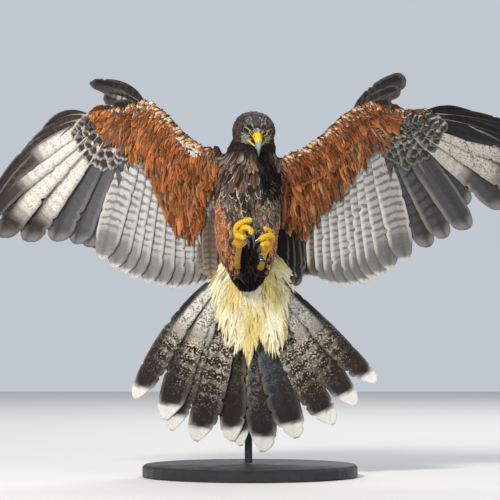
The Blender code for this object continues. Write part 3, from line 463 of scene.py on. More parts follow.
# Feather keratin is nearly matt, and its barbs run aslant from the shaft.
feather_look, tree, shader = material("feather_vane", 0.60, 0.07)
uv_node = tree.nodes.new("ShaderNodeUVMap")
uv_node.uv_map = "UVMap"
uv_split = tree.nodes.new("ShaderNodeSeparateXYZ")
tree.links.new(uv_node.outputs["UV"], uv_split.inputs[0])
across = sums(tree, "ABSOLUTE", sums(tree, "SUBTRACT", uv_split.outputs["X"], 0.5))
across = sums(tree, "MULTIPLY", across, 2.0)
along = uv_split.outputs["Y"]
tint = attribute(tree, "tint")
rim = attribute(tree, "rim")
rim_strength = attribute(tree, "rim", "Alpha")
marks = tree.nodes.new("ShaderNodeSeparateColor")
tree.links.new(attribute(tree, "mark"), marks.inputs[0])
streak, bars, speckle = marks.outputs[0], marks.outputs[1], marks.outputs[2]
bar_count = attribute(tree, "mark", "Alpha")
fine = noise(tree, 700.0, 4.0)
broad = noise(tree, 130.0, 3.0)
ink, cover = attribute(tree, "ink"), attribute(tree, "ink", "Alpha")
# bars bow toward the tip at the edges and waver a little; cover widens them
phase = sums(tree, "MULTIPLY", along, bar_count)
phase = sums(tree, "ADD", phase, sums(tree, "MULTIPLY", across, -0.30))
phase = sums(tree, "ADD", phase, swing(tree, broad, 0.8))
wave = sums(tree, "SINE", sums(tree, "MULTIPLY", phase, 2 * math.pi))
wave = sums(tree, "ADD", wave, swing(tree, fine, 0.9))
wave = sums(tree, "ADD", wave, swing(tree, cover, 2.4))
bar_mask = sums(tree, "MULTIPLY", ramp(tree, wave, -0.05, 0.55), bars)
base = blend(tree, bar_mask, tint, ink)
spots = sums(tree, "ADD", noise(tree, 400.0, 5.0), swing(tree, cover, 0.5))
spot_mask = sums(tree, "MULTIPLY", ramp(tree, spots, 0.48, 0.56), speckle)
base = blend(tree, spot_mask, base, ink)
edge_zone = sums(tree, "MULTIPLY", ramp(tree, across, 0.62, 0.98), ramp(tree, along, 0.25, 0.6))
tip_zone = ramp(tree, sums(tree, "ADD", along, sums(tree, "MULTIPLY", across, 0.06)), 0.90, 1.0)
rim_mask = sums(tree, "MULTIPLY", sums(tree, "MAXIMUM", edge_zone, tip_zone), rim_strength)
base = blend(tree, rim_mask, base, rim)
shaft_zone = ramp(tree, sums(tree, "ADD", across, swing(tree, fine, 0.3)), 0.34, 0.06)
base = blend(tree, sums(tree, "MULTIPLY", shaft_zone, streak), base, (0.022, 0.014, 0.011))
shade = ramp(tree, fine, 0.2, 0.8, 0.80, 1.12)
tone = tree.nodes.new("ShaderNodeHueSaturation")
tree.links.new(base, tone.inputs["Color"])
tree.links.new(shade, tone.inputs["Value"])
tree.links.new(tone.outputs["Color"], shader.inputs["Base Color"])
barb = sums(tree, "ADD", along, sums(tree, "MULTIPLY", across, -0.12))
barb = sums(tree, "SINE", sums(tree, "MULTIPLY", barb, 520.0))
bump(tree, shader, sums(tree, "ADD", barb, sums(tree, "MULTIPLY", fine, 2.0)), 0.25, 0.0002)

WHITE = (0.78, 0.75, 0.68)
PALE = (0.56, 0.54, 0.50)
SLATE = (0.075, 0.068, 0.066)
BLACKISH = (0.030, 0.024, 0.022)
BROWN = (0.065, 0.042, 0.032)

# Flight feathers.
# Ten primaries, twelve secondaries and three alula quills a side and twelve
# rectrices, each with its own place, so every one matches its solid.
WINGS = {
    "right": {
        "sign": -1.0,
        "primary_root": [(205, 469), (183, 465), (150, 470)],
        "primary_tip": [(276, 435), (311, 386), (341, 352), (344, 331), (329, 313),
                        (294, 307), (257, 307), (229, 303), (213, 299), (203, 297)],
        "primary_bow": [0.19, 0.15, 0.12, 0.09, 0.07, 0.05, 0.04, 0.03, 0.02, 0.02],
        "secondary_root": [(134, 468), (104, 429), (82, 404), (56, 390)],
        "secondary_tip": [(194, 282), (177, 271), (164, 264), (151, 257), (133, 251), (116, 247),
                          (101, 244), (88, 244), (77, 247), (67, 249), (58, 252), (47, 262)],
        "alula_root": (134, 481),
        "alula_tip": [(208, 511), (190, 491), (178, 477)],
        "under_tip": [(162, 424), (136, 388), (123, 360), (109, 332), (92, 322), (76, 302),
                      (60, 318), (46, 322)],
        "primary_cover_tip": [(232, 441), (214, 408), (196, 399), (176, 401), (166, 410)],
    },
    "left": {
        "sign": 1.0,
        "primary_root": [(225, 474), (200, 465), (166, 467)],
        "primary_tip": [(299, 469), (354, 453), (374, 425), (377, 396), (367, 369),
                        (335, 352), (284, 354), (286, 323), (256, 311), (234, 299)],
        "primary_bow": [0.05, 0.04, 0.05, 0.06, 0.06, 0.05, 0.04, 0.03, 0.02, 0.02],
        "secondary_root": [(151, 467), (120, 427), (96, 402), (58, 388)],
        "secondary_tip": [(203, 279), (183, 268), (170, 260), (159, 256), (149, 251), (138, 248),
                          (125, 247), (114, 248), (103, 251), (90, 256), (74, 258), (56, 252)],
        "alula_root": (131, 467),
        "alula_tip": [(202, 517), (195, 502), (184, 484)],
        "under_tip": [(194, 438), (163, 420), (142, 400), (127, 375), (106, 352), (84, 325),
                      (66, 302), (46, 318)],
        "primary_cover_tip": [(256, 450), (240, 420), (222, 404), (200, 400), (186, 412)],
    },
}
PRIMARY_WIDTH = [26, 28, 30, 33, 35, 36, 36, 34, 32, 32]
SECONDARY_WIDTH = 34.0
FLIGHT_BACK = 18.0
VANE_STEP = 1.35
SHAPES = {
    "flight": ([0, 0.04, 0.12, 0.22, 0.45, 0.7, 0.88, 0.95, 0.985, 1.0],
               [0.12, 0.16, 0.42, 0.66, 0.94, 1.0, 0.94, 0.78, 0.52, 0.20]),
    "pointed": ([0, 0.04, 0.12, 0.25, 0.45, 0.6, 0.8, 0.93, 1.0],
                [0.12, 0.16, 0.46, 0.8, 1.0, 0.93, 0.68, 0.50, 0.12]),
    "tail": ([0, 0.04, 0.14, 0.3, 0.6, 0.85, 0.94, 0.98, 1.0],
             [0.12, 0.14, 0.40, 0.68, 0.95, 1.0, 0.90, 0.66, 0.30]),
    "blade": ([0, 0.04, 0.12, 0.22, 0.45, 0.7, 0.87, 0.94, 0.975, 1.0],
              [0.12, 0.16, 0.42, 0.66, 0.94, 1.0, 0.93, 0.70, 0.42, 0.06]),
    "tail_outer": ([0, 0.04, 0.14, 0.3, 0.6, 0.85, 0.93, 0.975, 1.0],
                   [0.12, 0.14, 0.40, 0.68, 0.95, 1.0, 0.96, 0.66, 0.20]),
    "tail_inner": ([0, 0.04, 0.14, 0.3, 0.6, 0.80, 0.89, 0.95, 1.0],
                   [0.12, 0.14, 0.40, 0.68, 0.97, 1.0, 0.84, 0.50, 0.08]),
    "lance": ([0, 0.15, 0.4, 0.6, 0.8, 0.93, 1.0],
              [0.35, 0.60, 0.95, 1.0, 0.72, 0.38, 0.08]),
    "cover": ([0, 0.15, 0.4, 0.65, 0.85, 0.95, 1.0],
              [0.30, 0.55, 0.9, 1.0, 0.86, 0.58, 0.20]),
}
rng = np.random.default_rng(7)


def flow(stations, values, t):
    """Share of a vane's full width at places along it."""
    return np.interp(t, stations, values)


def place_on(line, count):
    """Evenly spaced points on a bent line."""
    pts = np.array(line, float)
    steps = np.r_[0, np.cumsum(np.linalg.norm(np.diff(pts, axis=0), axis=1))]
    want = np.linspace(0, steps[-1], count)
    return np.stack([np.interp(want, steps, pts[:, k]) for k in range(pts.shape[1])], 1)


def arm_at(side, point):
    """Distance off the arm's flesh, share of its chord, depth and half thickness, in mm."""
    best = (1e9, 0.0, 0.0, 0.0)
    stations = ARMS[side][1]
    for a, b in zip(stations, stations[1:]):
        for t in np.linspace(0, 1, 9):
            lead = np.array(a[0]) * (1 - t) + np.array(b[0]) * t
            trail = np.array(a[1]) * (1 - t) + np.array(b[1]) * t
            chord = trail - lead
            share = float(np.clip((np.array(point) - lead) @ chord / (chord @ chord), 0, 1))
            off = float(np.linalg.norm(np.array(point) - (lead + chord * share)))
            if off < best[0]:
                thick = a[2] * (1 - t) + b[2] * t
                depth = a[3] * (1 - t) + b[3] * t
                half = np.interp(share, [s for s, _ in ARM_SECTION], [h for _, h in ARM_SECTION])
                best = (off, share, depth, float(half) * thick)
    return best


def unit_rows(ways):
    """Rows of directions brought to length one."""
    return ways / np.linalg.norm(ways, axis=1)[:, None]


QUILL_THICK = (1.0, 0.45)
QUILL_CAMBER = 0.06


def quill(coat, root, tip, width, inner, bow, sag, outer, step, shape, tint, rim, mark, patch, shaft,
          ink=DARK_INK, rows=44, wide=9, splits=2):
    """One long feather between two points in millimetres, shaped like its solid."""
    root = np.array(root, float)
    tip = np.array(tip, float)
    t = np.linspace(0, 1, rows) ** 0.9
    line = tip - root
    length = np.linalg.norm(line)
    chord = np.array([-line[2], 0, line[0]])
    chord = chord / np.linalg.norm(chord) * inner
    lift = 4 * t * (1 - t)
    centre = root + line * t[:, None] - chord * (bow * length * lift)[:, None]
    centre[:, 1] += sag * lift
    slope = unit_rows(np.gradient(centre, t, axis=0))
    side = unit_rows(np.stack([-slope[:, 2], np.zeros(rows), slope[:, 0]], 1))
    side *= inner
    roll = np.arcsin(np.minimum(0.35, VANE_STEP / (step[0] + (step[1] - step[0]) * t)))
    side = side * np.cos(roll)[:, None]
    side[:, 1] -= np.sin(roll)
    normal = unit_rows(np.cross(slope, side))
    flip = np.sign(normal[:, 1])
    normal = normal * flip[:, None]
    webs = (shape, shape) if isinstance(shape, str) else shape
    left = width * flow(*SHAPES[webs[0]], t) * outer
    right = width * flow(*SHAPES[webs[1]], t) * (1 - outer)
    for edge in (left, right):
        edge *= 1 + rng.normal(0, 0.008, rows)
        for _ in range(splits):
            if rng.random() < 0.7:
                k = int(rng.uniform(0.3, 0.95) * rows)
                edge[k] *= rng.uniform(0.80, 0.93)
    q = np.linspace(-1.0, 1.0, wide)

    def spread(value):
        return value(t, q) if callable(value) else value

    coat.add(centre * MM, side, normal, left * MM, right * MM, np.interp(t, [0, 1], QUILL_THICK) * MM,
             QUILL_CAMBER,
             (spread(tint), spread(rim), spread(mark), spread(ink)), patch, wide)
    stem = t <= 0.93
    radius = np.interp(t, [0, 0.5, 1], (1.25, 0.75, 0.30))
    coat.rod(centre[stem] * MM, side[stem], normal[stem], radius[stem] * MM, opaque_line(shaft)(t[stem], q),
             patch)


def tone_line(stops):
    """Colours along a feather from (place, colour) stops."""
    def colour(t, q=None):
        return np.stack([np.interp(t, [s for s, _ in stops], [c[k] for _, c in stops])
                         for k in range(len(stops[0][1]))], 1)
    return colour


def two_webs(outer, inner):
    """Colours that differ on the outer and the inner web of a feather."""
    def colour(t, q):
        one, other = outer(t), inner(t)
        share = np.clip(q * 6.0 + 0.5, 0.0, 1.0)[None, :, None]
        return (one[:, None, :] * (1 - share) + other[:, None, :] * share).reshape(-1, one.shape[1])
    return colour


def both_faces(top, low):
    """Colours of the back face, then of the under face."""
    def colour(t, q):
        one, other = top(t, q), low(t, q)
        if len(one) != len(other):
            one, other = [np.repeat(v, len(q), 0) if len(v) == len(t) else v for v in (one, other)]
        return np.concatenate([one, other])
    return colour


def opaque_line(stops):
    """Plain colours along a feather, at full strength."""
    return tone_line([(s, tuple(c) + (1,)) for s, c in stops])


def shade_of(colour, factor):
    """A colour made darker or lighter by a factor."""
    return tuple(min(1.0, c * factor) for c in colour)


def graded(colour, *stops):
    """A colour made darker or lighter at places along a feather."""
    return opaque_line([(place, shade_of(colour, factor)) for place, factor in stops])


atlas_cell = [0]


def atlas():
    """Next free cell of a flight feather sheet: 8 columns, top and under face side by side."""
    k = atlas_cell[0]
    atlas_cell[0] += 1
    column, row = k % 8, (k // 8) % 10
    return (column / 8 + 0.004, row / 10 + 0.004, 0.052, 0.090, 0.060)


# how far the white of the under face runs down the inner and the outer web, P10 to P1
WHITE_RUN = {
    "right": [(0.10, 0.03), (0.36, 0.05), (0.50, 0.10), (0.66, 0.22), (0.82, 0.50),
              (0.80, 0.60), (0.08, 0.06),
              (0.06, 0.05), (0.06, 0.05), (0.12, 0.08)],
    "left": [(0.03, 0.02), (0.03, 0.02), (0.10, 0.04), (0.74, 0.50), (0.76, 0.56),
             (0.62, 0.40), (0.06, 0.05),
             (0.06, 0.05), (0.06, 0.05), (0.10, 0.06)],
}


def primary_web(white_run, end, far, white):
    """Ground of one web: white to its run's end, then the dark of the outer half."""
    run = max(0.03, white_run)
    return [(0.0, white), (run * 0.9, shade_of(white, 0.92)), (run + 0.05, end),
            (0.86, shade_of(end, 0.85)), (1.0, far)]


SECONDARY_RIM = [(0, (0.72, 0.70, 0.66, 0.75)), (0.84, (0.66, 0.64, 0.60, 0.70)),
                 (0.90, (0.5, 0.48, 0.45, 0.12)),
                 (0.975, (0.6, 0.58, 0.55, 0.2)), (1, (0.8, 0.78, 0.74, 1))]
flight = {}
for side, wing in WINGS.items():
    sign = wing["sign"]
    coat = Coat()
    roots = place_on(wing["primary_root"], 10)
    tips = np.array(wing["primary_tip"], float)
    for i in range(10):
        depth = arm_at(side, roots[i])[2]
        far = 30.0 if i == 0 else float(np.clip(np.linalg.norm(tips[i] - tips[i - 1]), 14.0, 30.0))
        jit = rng.uniform(0.9, 1.1)
        inner_run, outer_run = WHITE_RUN[side][i]
        leading = i < (5 if side == "left" else 6)
        white = WHITE if side == "right" else (0.50, 0.47, 0.41)
        if leading:
            end = shade_of((0.050, 0.041, 0.037) if side == "right" else (0.020, 0.020, 0.023), jit)
            inner = primary_web(inner_run, end, shade_of(end, 0.45), white)
            outer = primary_web(outer_run, shade_of(end, 0.65), shade_of(end, 0.45), white)
            spotted = 0.42 if side == "right" else 0.9
            specks = [(0.0, (0.0, 0.0, spotted * 0.7, 16)), (inner_run * 0.8, (0.0, 0.15, spotted, 16)),
                      (min(0.9, inner_run + 0.1), (0.1, 0.45, 0.3, 16)), (1.0, (0.2, 0.1, 0.0, 16))]
        else:
            end = shade_of((0.092, 0.093, 0.100), jit * (1.15 if side == "right" else 0.85))
            inner = primary_web(inner_run, end, shade_of(SLATE, 0.7), white)
            outer = primary_web(outer_run, shade_of(end, 0.75), shade_of(SLATE, 0.6), white)
            barred = 0.7 if i >= 8 else 0.25 if i == 5 else 0.1
            mottled = 0.7 if side == "left" and i == 5 else 0.3
            specks = [(0.0, (0.1, 0.4, 0.7, 13)), (0.25, (0.2, barred, mottled, 13)),
                      (0.75, (0.3, barred * 0.8, 0, 13)), (1.0, (0.3, 0, 0, 13))]
        top = [(0.0, shade_of(BROWN, 1.1)), (0.5, BROWN), (1.0, BLACKISH)]
        top_mark = [(0.0, (0.1, 0.15, 0.1, 12)), (1.0, (0.1, 0.1, 0.0, 12))]
        low_tint = two_webs(opaque_line(outer), opaque_line(inner))
        quill(coat, (sign * roots[i][0], depth, roots[i][1]),
              (sign * tips[i][0], depth + FLIGHT_BACK + 6, tips[i][1]),
              PRIMARY_WIDTH[i] * 1.02, -sign, wing["primary_bow"][i], 5.0, 0.30 if i < 5 else 0.38,
              (6.5, far),
              "pointed" if i < 4 else "flight",
              tint=both_faces(opaque_line(top), low_tint),
              rim=(0.36, 0.34, 0.32, 0.45 if i > 4 else 0.35 if side == "right" or i > 2 else 0.08),
              mark=both_faces(tone_line(top_mark), tone_line(specks)),
              ink=tone_line([(0, (0.11, 0.085, 0.070, 0.40)), (inner_run, (0.12, 0.09, 0.075, 0.42)),
                             (min(0.95, inner_run + 0.15), (0.030, 0.026, 0.026, 0.40)),
                             (1, (0.02, 0.018, 0.018, 0.40))]),
              patch=atlas(),
              shaft=[(0, (0.55, 0.48, 0.36)), (0.4, (0.14, 0.10, 0.08)), (1, (0.02, 0.016, 0.015))])
    roots = place_on(wing["secondary_root"], 12)
    for i in range(12):
        tip = wing["secondary_tip"][i]
        depth = arm_at(side, roots[i])[2]
        jit = rng.uniform(0.90, 1.10)
        # the left wing's secondaries are painted darker, as shade on the wing that lies away from the key
        # light
        jit *= 0.74 if side == "left" else 0.97
        pale = shade_of((0.53, 0.515, 0.50), jit)
        if i >= 9:
            pale = shade_of((0.27, 0.225, 0.19), jit)
        # the left wing's two innermost, beside the body, are painted near black as shade
        if side == "left" and i >= 10:
            pale = (0.050, 0.046, 0.048)
        low = [(place, shade_of(pale, factor)) for place, factor in
               ((0, 1.3), (0.5, 1), (0.76, 0.88), (0.83, 0.42), (0.965, 0.36))]
        low += [(0.98, PALE), (1.0, PALE)]
        low_mark = [(0, (0, 0.95, 0.10, 18)), (0.76, (0.1, 0.95, 0.10, 18)), (0.84, (0.2, 0.15, 0.1, 18)),
                    (1, (0.2, 0, 0, 18))]
        top = [(0.0, BROWN), (0.8, BROWN), (0.93, BLACKISH), (1.0, shade_of(BROWN, 1.8))]
        quill(coat, (sign * roots[i][0], depth, roots[i][1]), (sign * tip[0], depth + FLIGHT_BACK, tip[1]),
              SECONDARY_WIDTH - (4 if i > 8 else 0), -sign, 0.03, 5.0, 0.42, (7.0, 15.0), "blade",
              tint=both_faces(opaque_line(top), opaque_line(low)),
              rim=tone_line(SECONDARY_RIM),
              mark=both_faces(tone_line([(0, (0.1, 0.2, 0.0, 10)), (1, (0.1, 0.1, 0.0, 10))]),
                              tone_line(low_mark)),
              ink=shade_of(pale, 0.42) + (0.46,), patch=atlas(),
              shaft=[(0, (0.6, 0.55, 0.45)), (0.6, (0.28, 0.25, 0.22)), (1, (0.06, 0.05, 0.045))])
    root = wing["alula_root"]
    for i, tip in enumerate(wing["alula_tip"]):
        lead_web = opaque_line([(0.0, shade_of(SLATE, 0.6)), (0.3, (0.018, 0.016, 0.016)),
                                (1.0, (0.016, 0.014, 0.014))])
        rear_web = opaque_line([(0.0, WHITE), (0.40, shade_of(PALE, 0.7)), (0.60, shade_of(SLATE, 0.8)),
                                (1.0, (0.035, 0.031, 0.030))])
        shape = "pointed" if side == "right" and i == 0 else "flight"
        quill(coat, (sign * root[0], -11.0 - 0.4 * i, root[1] - 1.5 * i),
              (sign * tip[0], -13.0 - 1.3 * i, tip[1]),
              26.0 if i == 0 else 20.0, -sign, 0.07, 0.0, 0.50, (8.0, 14.0), shape, rows=26,
              tint=both_faces(opaque_line([(0, BROWN), (1, BLACKISH)]), two_webs(lead_web, rear_web)),
              rim=(0.20, 0.18, 0.17, 0.3),
              mark=tone_line([(0, (0.2, 0.95, 0.3, 9)), (0.62, (0.2, 0.8, 0.3, 9)),
                              (0.75, (0.2, 0, 0.1, 9)), (1, (0.2, 0, 0, 9))]),
              patch=atlas(), shaft=[(0, (0.3, 0.25, 0.2)), (1, (0.02, 0.016, 0.015))])
    flight[side] = coat.build("flight_feathers_" + side, feather_look, "plumage_grey")

TAIL_ROOT = (-5.0, 16.0, 281.0)
TAIL_LEAN = 16.0
TAIL_TIP = [(-151, 100), (-111, 72), (-102, 58), (-70, 44), (-22, 44), (-11, 38),
            (15, 30), (55, 54), (60, 48), (109, 66), (138, 91), (165, 121)]
TAIL_WIDTH = [31, 38, 34, 40, 36, 30, 40, 30, 42, 38, 34, 31]
TAIL_BOW = [0.075, 0.080, 0.060, 0.010, 0.035, 0.020, 0.030, 0.0, 0.0, -0.010, 0.025, 0.020]
TAIL_STYLE = ["web", "web", "web", "mottled", "plain", "plain", "grey", "plain", "blue", "mottled", "web",
              "web"]
# the blue style is a dark feather painted with a bluish sheen in its ground and mottle
TAIL_DARK = {"blue": (0.036, 0.041, 0.052), "grey": (0.060, 0.056, 0.054)}
TAIL_MOTTLE = {"grey": (0.34, 0.31, 0.27), "blue": (0.15, 0.16, 0.18)}
MOTTLE_COVER = {"web": 0.95, "mottled": 0.95, "grey": 0.85, "blue": 0.55, "plain": 0.12}
coat = Coat()
for i in range(12):
    style = TAIL_STYLE[i]
    share = (i - 5.5) / 5.5
    middle = 5.5 - abs(i - 5.5)
    root = (TAIL_ROOT[0] + 11.0 * share, TAIL_ROOT[1] + 2.5 + 0.75 * middle, TAIL_ROOT[2])
    tip = (TAIL_TIP[i][0], TAIL_ROOT[1] + TAIL_LEAN + middle, TAIL_TIP[i][1])
    dark = shade_of(TAIL_DARK.get(style, (0.026, 0.020, 0.018)), rng.uniform(0.8, 1.15))
    mottle = shade_of(TAIL_MOTTLE.get(style, (0.60, 0.52, 0.40)), rng.uniform(0.85, 1.1))
    white_run = 0.24 + 0.22 * abs(share)
    tip_run = 0.918 + rng.uniform(0.0, 0.016)
    inner = [(0.0, WHITE), (white_run, shade_of(WHITE, 0.9)), (white_run + 0.12, dark),
             (tip_run - 0.012, BLACKISH), (tip_run, WHITE), (1.0, WHITE)]
    outer = [(0.0, PALE), (0.22 + 0.10 * abs(share), dark), (tip_run - 0.008, BLACKISH),
             (tip_run + 0.008, WHITE), (1.0, WHITE)]
    strong = MOTTLE_COVER[style]
    specks = [(0.0, (0, 0, 0.35, 13)), (white_run, (0, 0.25, 0.75, 13)),
              (white_run + 0.12, (0.2, 0.4 * strong, strong, 13)),
              (0.66, (0.4, 0.3 * strong, strong * 0.9, 13)),
              (0.82, (0.4, 0, strong * 0.25, 13)), (0.90, (0.1, 0, 0, 13)), (1.0, (0, 0, 0, 13))]
    plain_web = [(0.0, (0, 0, 0.4, 13)), (0.4, (0.1, 0.1, 0.4 * strong, 13)), (0.8, (0.2, 0, 0.1, 13)),
                 (1.0, (0, 0, 0, 13))]
    ink_line = [(0.0, (0.05, 0.04, 0.03, 0.35)), (white_run, (0.04, 0.03, 0.025, 0.48)),
                (white_run + 0.10, mottle + (0.46,)),
                (0.7, shade_of(mottle, 0.8) + (0.38,)), (1.0, shade_of(mottle, 0.5) + (0.30,))]
    top = [(0.0, WHITE), (0.22, WHITE), (0.30, BLACKISH), (0.90, BLACKISH), (0.93, WHITE), (1.0, WHITE)]
    web_marks = two_webs(tone_line(plain_web), tone_line(specks)) if style == "web" else tone_line(specks)
    quill(coat, root, tip, TAIL_WIDTH[i] * 1.01, 1.0 if i < 6 else -1.0, TAIL_BOW[i], 3.0,
          0.30 + 0.035 * middle, (8.0, 30.0),
          ("tail_outer", "tail_inner"), rows=64, wide=11,
          tint=both_faces(opaque_line(top), two_webs(opaque_line(outer), opaque_line(inner))),
          rim=tone_line([(0.0, (0.5, 0.46, 0.40, 0.3)), (0.85, (0.30, 0.26, 0.22, 0.25)),
                         (0.91, (0.8, 0.78, 0.74, 0.5)), (1.0, (0.8, 0.78, 0.74, 0.9))]),
          mark=both_faces(tone_line([(0, (0.1, 0, 0, 9)), (1, (0.1, 0, 0, 9))]), web_marks),
          ink=tone_line(ink_line), patch=atlas(), splits=12 if i in (2, 8) else 5,
          shaft=[(0, (0.5, 0.44, 0.34)), (0.35, (0.10, 0.08, 0.06)), (0.9, (0.02, 0.016, 0.015)),
                 (0.95, (0.5, 0.48, 0.44)), (1, (0.6, 0.58, 0.54))])
tail_flight = coat.build("tail_feathers", feather_look, "plumage_tail")
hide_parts("tail")
for side in ("right", "left"):
    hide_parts("hand_" + side, "forearm_" + side, "upper_arm_" + side, "alula_" + side)
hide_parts("head", "neck", "torso", "thigh_right", "thigh_left")

# Wing coverts.
# Rows of smaller feathers cover the roots of the quills on both faces of the
# wing: chestnut under the wing with a scaly pale leading edge, spotted grey on
# the hand, and dark brown with a chestnut shoulder on the back.
RELIEF_STEP = 2.0
RELIEF_X = np.arange(36.0, 320.0, RELIEF_STEP)
RELIEF_Z = np.arange(262.0, 522.0, RELIEF_STEP)


def soften(grid, weight, rounds, reach):
    """Repeated box blur of a height grid, heeding only filled places."""
    total = np.where(weight > 0, grid, 0.0) * weight
    for _ in range(rounds):
        for axis in (0, 1):
            total = sum(np.roll(total, k, axis) for k in range(-reach, reach + 1)) / (2 * reach + 1)
            weight = sum(np.roll(weight, k, axis) for k in range(-reach, reach + 1)) / (2 * reach + 1)
    return total / np.maximum(weight, 1e-9), weight


def wing_relief(side, facing):
    """Depth in mm of the bare wing's face on a grid; facing -1 is the under face."""
    sign = WINGS[side]["sign"]
    quill_tree = BVHTree.FromObject(flight[side], bpy.context.evaluated_depsgraph_get())
    depth = np.zeros((len(RELIEF_X), len(RELIEF_Z)))
    weight = np.zeros_like(depth)
    for i, x in enumerate(RELIEF_X):
        for j, z in enumerate(RELIEF_Z):
            start = Vector((sign * x * MM, facing * 0.2, z * MM))
            found = [hit[0].y / MM for tree in (skin_tree, quill_tree)
                     for hit in [tree.ray_cast(start, Vector((0, -facing, 0)), 0.4)] if hit[0] is not None]
            if found:
                depth[i, j] = min(found) if facing < 0 else max(found)
                weight[i, j] = 1.0
    near, near_weight = soften(depth, weight, 2, 2)
    far, _ = soften(depth, weight, 4, 6)
    return np.where(near_weight > 0.02, near, far)


def relief_at(grid, x, z):
    """Depth of the relief at places of the wing's plane, blended between its cells."""
    fx = np.clip((np.abs(x) - RELIEF_X[0]) / RELIEF_STEP, 0, len(RELIEF_X) - 1.001)
    fz = np.clip((z - RELIEF_Z[0]) / RELIEF_STEP, 0, len(RELIEF_Z) - 1.001)
    i, j = fx.astype(int), fz.astype(int)
    a, b = fx - i, fz - j
    return (grid[i, j] * (1 - a) * (1 - b) + grid[i + 1, j] * a * (1 - b)
            + grid[i, j + 1] * (1 - a) * b + grid[i + 1, j + 1] * a * b)


def lie_at(side, point):
    """Way that the wing's feathers point at a place, from the quills beside it."""
    wing = WINGS[side]
    roots = np.concatenate([place_on(wing["primary_root"], 10), place_on(wing["secondary_root"], 12)])
    tips = np.concatenate([np.array(wing["primary_tip"], float), np.array(wing["secondary_tip"], float)])
    ways = unit_rows(tips - roots)
    seats = roots + ways * 30.0
    weight = 1.0 / (((seats - point) ** 2).sum(1) + 120.0) ** 2
    way = (ways * weight[:, None]).sum(0)
    return way / np.linalg.norm(way)


COVERT_THICK = (0.7, 0.3)
COVERT_CAMBER = 0.16


def covert(coat, side, facing, grid, root, tip, width, notes, lift, rows, wide, patch, fray,
           shape="cover", bow=0.0, roll=0.10):
    """One covert lying on the wing's face between two places of its plane, in mm."""
    sign = WINGS[side]["sign"]
    root, tip = np.array(root, float), np.array(tip, float)
    t = np.linspace(0, 1, rows) ** 0.85
    line = tip - root
    length = np.linalg.norm(line)
    cross = np.array([line[1], -line[0]]) / length
    flat = root + line * t[:, None] + cross * (bow * length * 4 * t * (1 - t))[:, None]
    depth = relief_at(grid, flat[:, 0], flat[:, 1]) + facing * (lift[0] + (lift[1] - lift[0]) * t)
    centre = np.stack([sign * flat[:, 0], depth, flat[:, 1]], 1)
    slope = unit_rows(np.gradient(centre, t, axis=0))
    up = np.tile(np.array([0.0, float(facing), 0.0]), (rows, 1))
    across = unit_rows(np.cross(slope, up))
    across = across * math.cos(roll) + up * math.sin(roll)
    normal = unit_rows(np.cross(across, slope))
    share = flow(*SHAPES[shape], t) * width / 2
    left = share * (1 + rng.normal(0, fray * 0.3, rows))
    right = share * (1 + rng.normal(0, fray * 0.3, rows))
    q = np.linspace(-1.0, 1.0, wide)
    coat.add(centre * MM, across, normal, left * MM, right * MM, np.interp(t, [0, 1], COVERT_THICK) * MM,
             COVERT_CAMBER,
             [note(t, q) if callable(note) else note for note in notes], patch, wide)


def varied(colour, spread=0.18):
    """A colour made a little lighter, darker, redder or yellower."""
    level = math.exp(rng.normal(0, spread))
    warm = rng.normal(0, spread * 0.3)
    return (min(1.0, colour[0] * level * (1 + warm)), min(1.0, colour[1] * level),
            min(1.0, colour[2] * level * (1 - warm)))


LEAD_LINE = {
    "right": [(40, 420), (66, 430), (90, 449), (109, 470), (129, 485), (142, 488), (160, 480),
              (184, 475), (210, 472)],
    "left": [(40, 413), (70, 425), (98, 446), (118, 466), (142, 482), (158, 486), (174, 477),
             (194, 476), (206, 477)],
}
CHESTNUT_TIPS = {
    "right": [(40, 385), (50, 370), (57, 350), (66, 320), (76, 300), (90, 312), (104, 325),
              (117, 356), (134, 395),
              (148, 410), (165, 425), (180, 432), (195, 438), (204, 462)],
    "left": [(40, 326), (52, 312), (66, 302), (84, 322), (106, 350), (127, 373), (142, 398),
             (158, 414), (172, 424),
             (184, 432), (193, 441), (199, 452), (203, 466)],
}
# thin-feathered web of skin between shoulder and wrist that shows pale on the right wing
WEB_PATCH = [(-94.3, 449.5), (-92.3, 436.9), (-78.8, 431.3), (-71.8, 419.9), (-61.9, 419.9), (-64.6, 427.0),
             (-78.8, 439.6), (-90.1, 448.2)]
GREY_COVER = (0.30, 0.28, 0.26)


def inside(point, corners):
    """Whether a place of the wing's plane lies within a loop of corners."""
    hit = False
    for (ax, ay), (bx, by) in zip(corners, corners[1:] + corners[:1]):
        if (ay > point[1]) != (by > point[1]) and point[0] < (bx - ax) * (point[1] - ay) / (by - ay) + ax:
            hit = not hit
    return hit


def turned(way, angle):
    """A flat direction turned by an angle."""
    c, s = math.cos(angle), math.sin(angle)
    return np.array([way[0] * c - way[1] * s, way[0] * s + way[1] * c])


def on_line(points, share):
    """Place at a share of the way along a row of points."""
    cell = share * (len(points) - 1)
    return np.array([np.interp(cell, range(len(points)), points[:, a]) for a in (0, 1)])


def run_of(points):
    """Length of a row of points."""
    return np.linalg.norm(np.diff(points, axis=0), axis=1).sum()


def seat(place, share, size=0.003):
    """Baked place of a wing feather: span across, chord up."""
    return (0.02 + 0.94 * place, 0.02 + 0.9 * share, size, size, 0.0035)


def back_notes():
    """Plain brown of the coverts on the back of the wing."""
    return varied(BROWN, 0.15) + (1,), (0.16, 0.11, 0.08, 0.4), (0.15, 0.1, 0.1, 5), DARK_INK


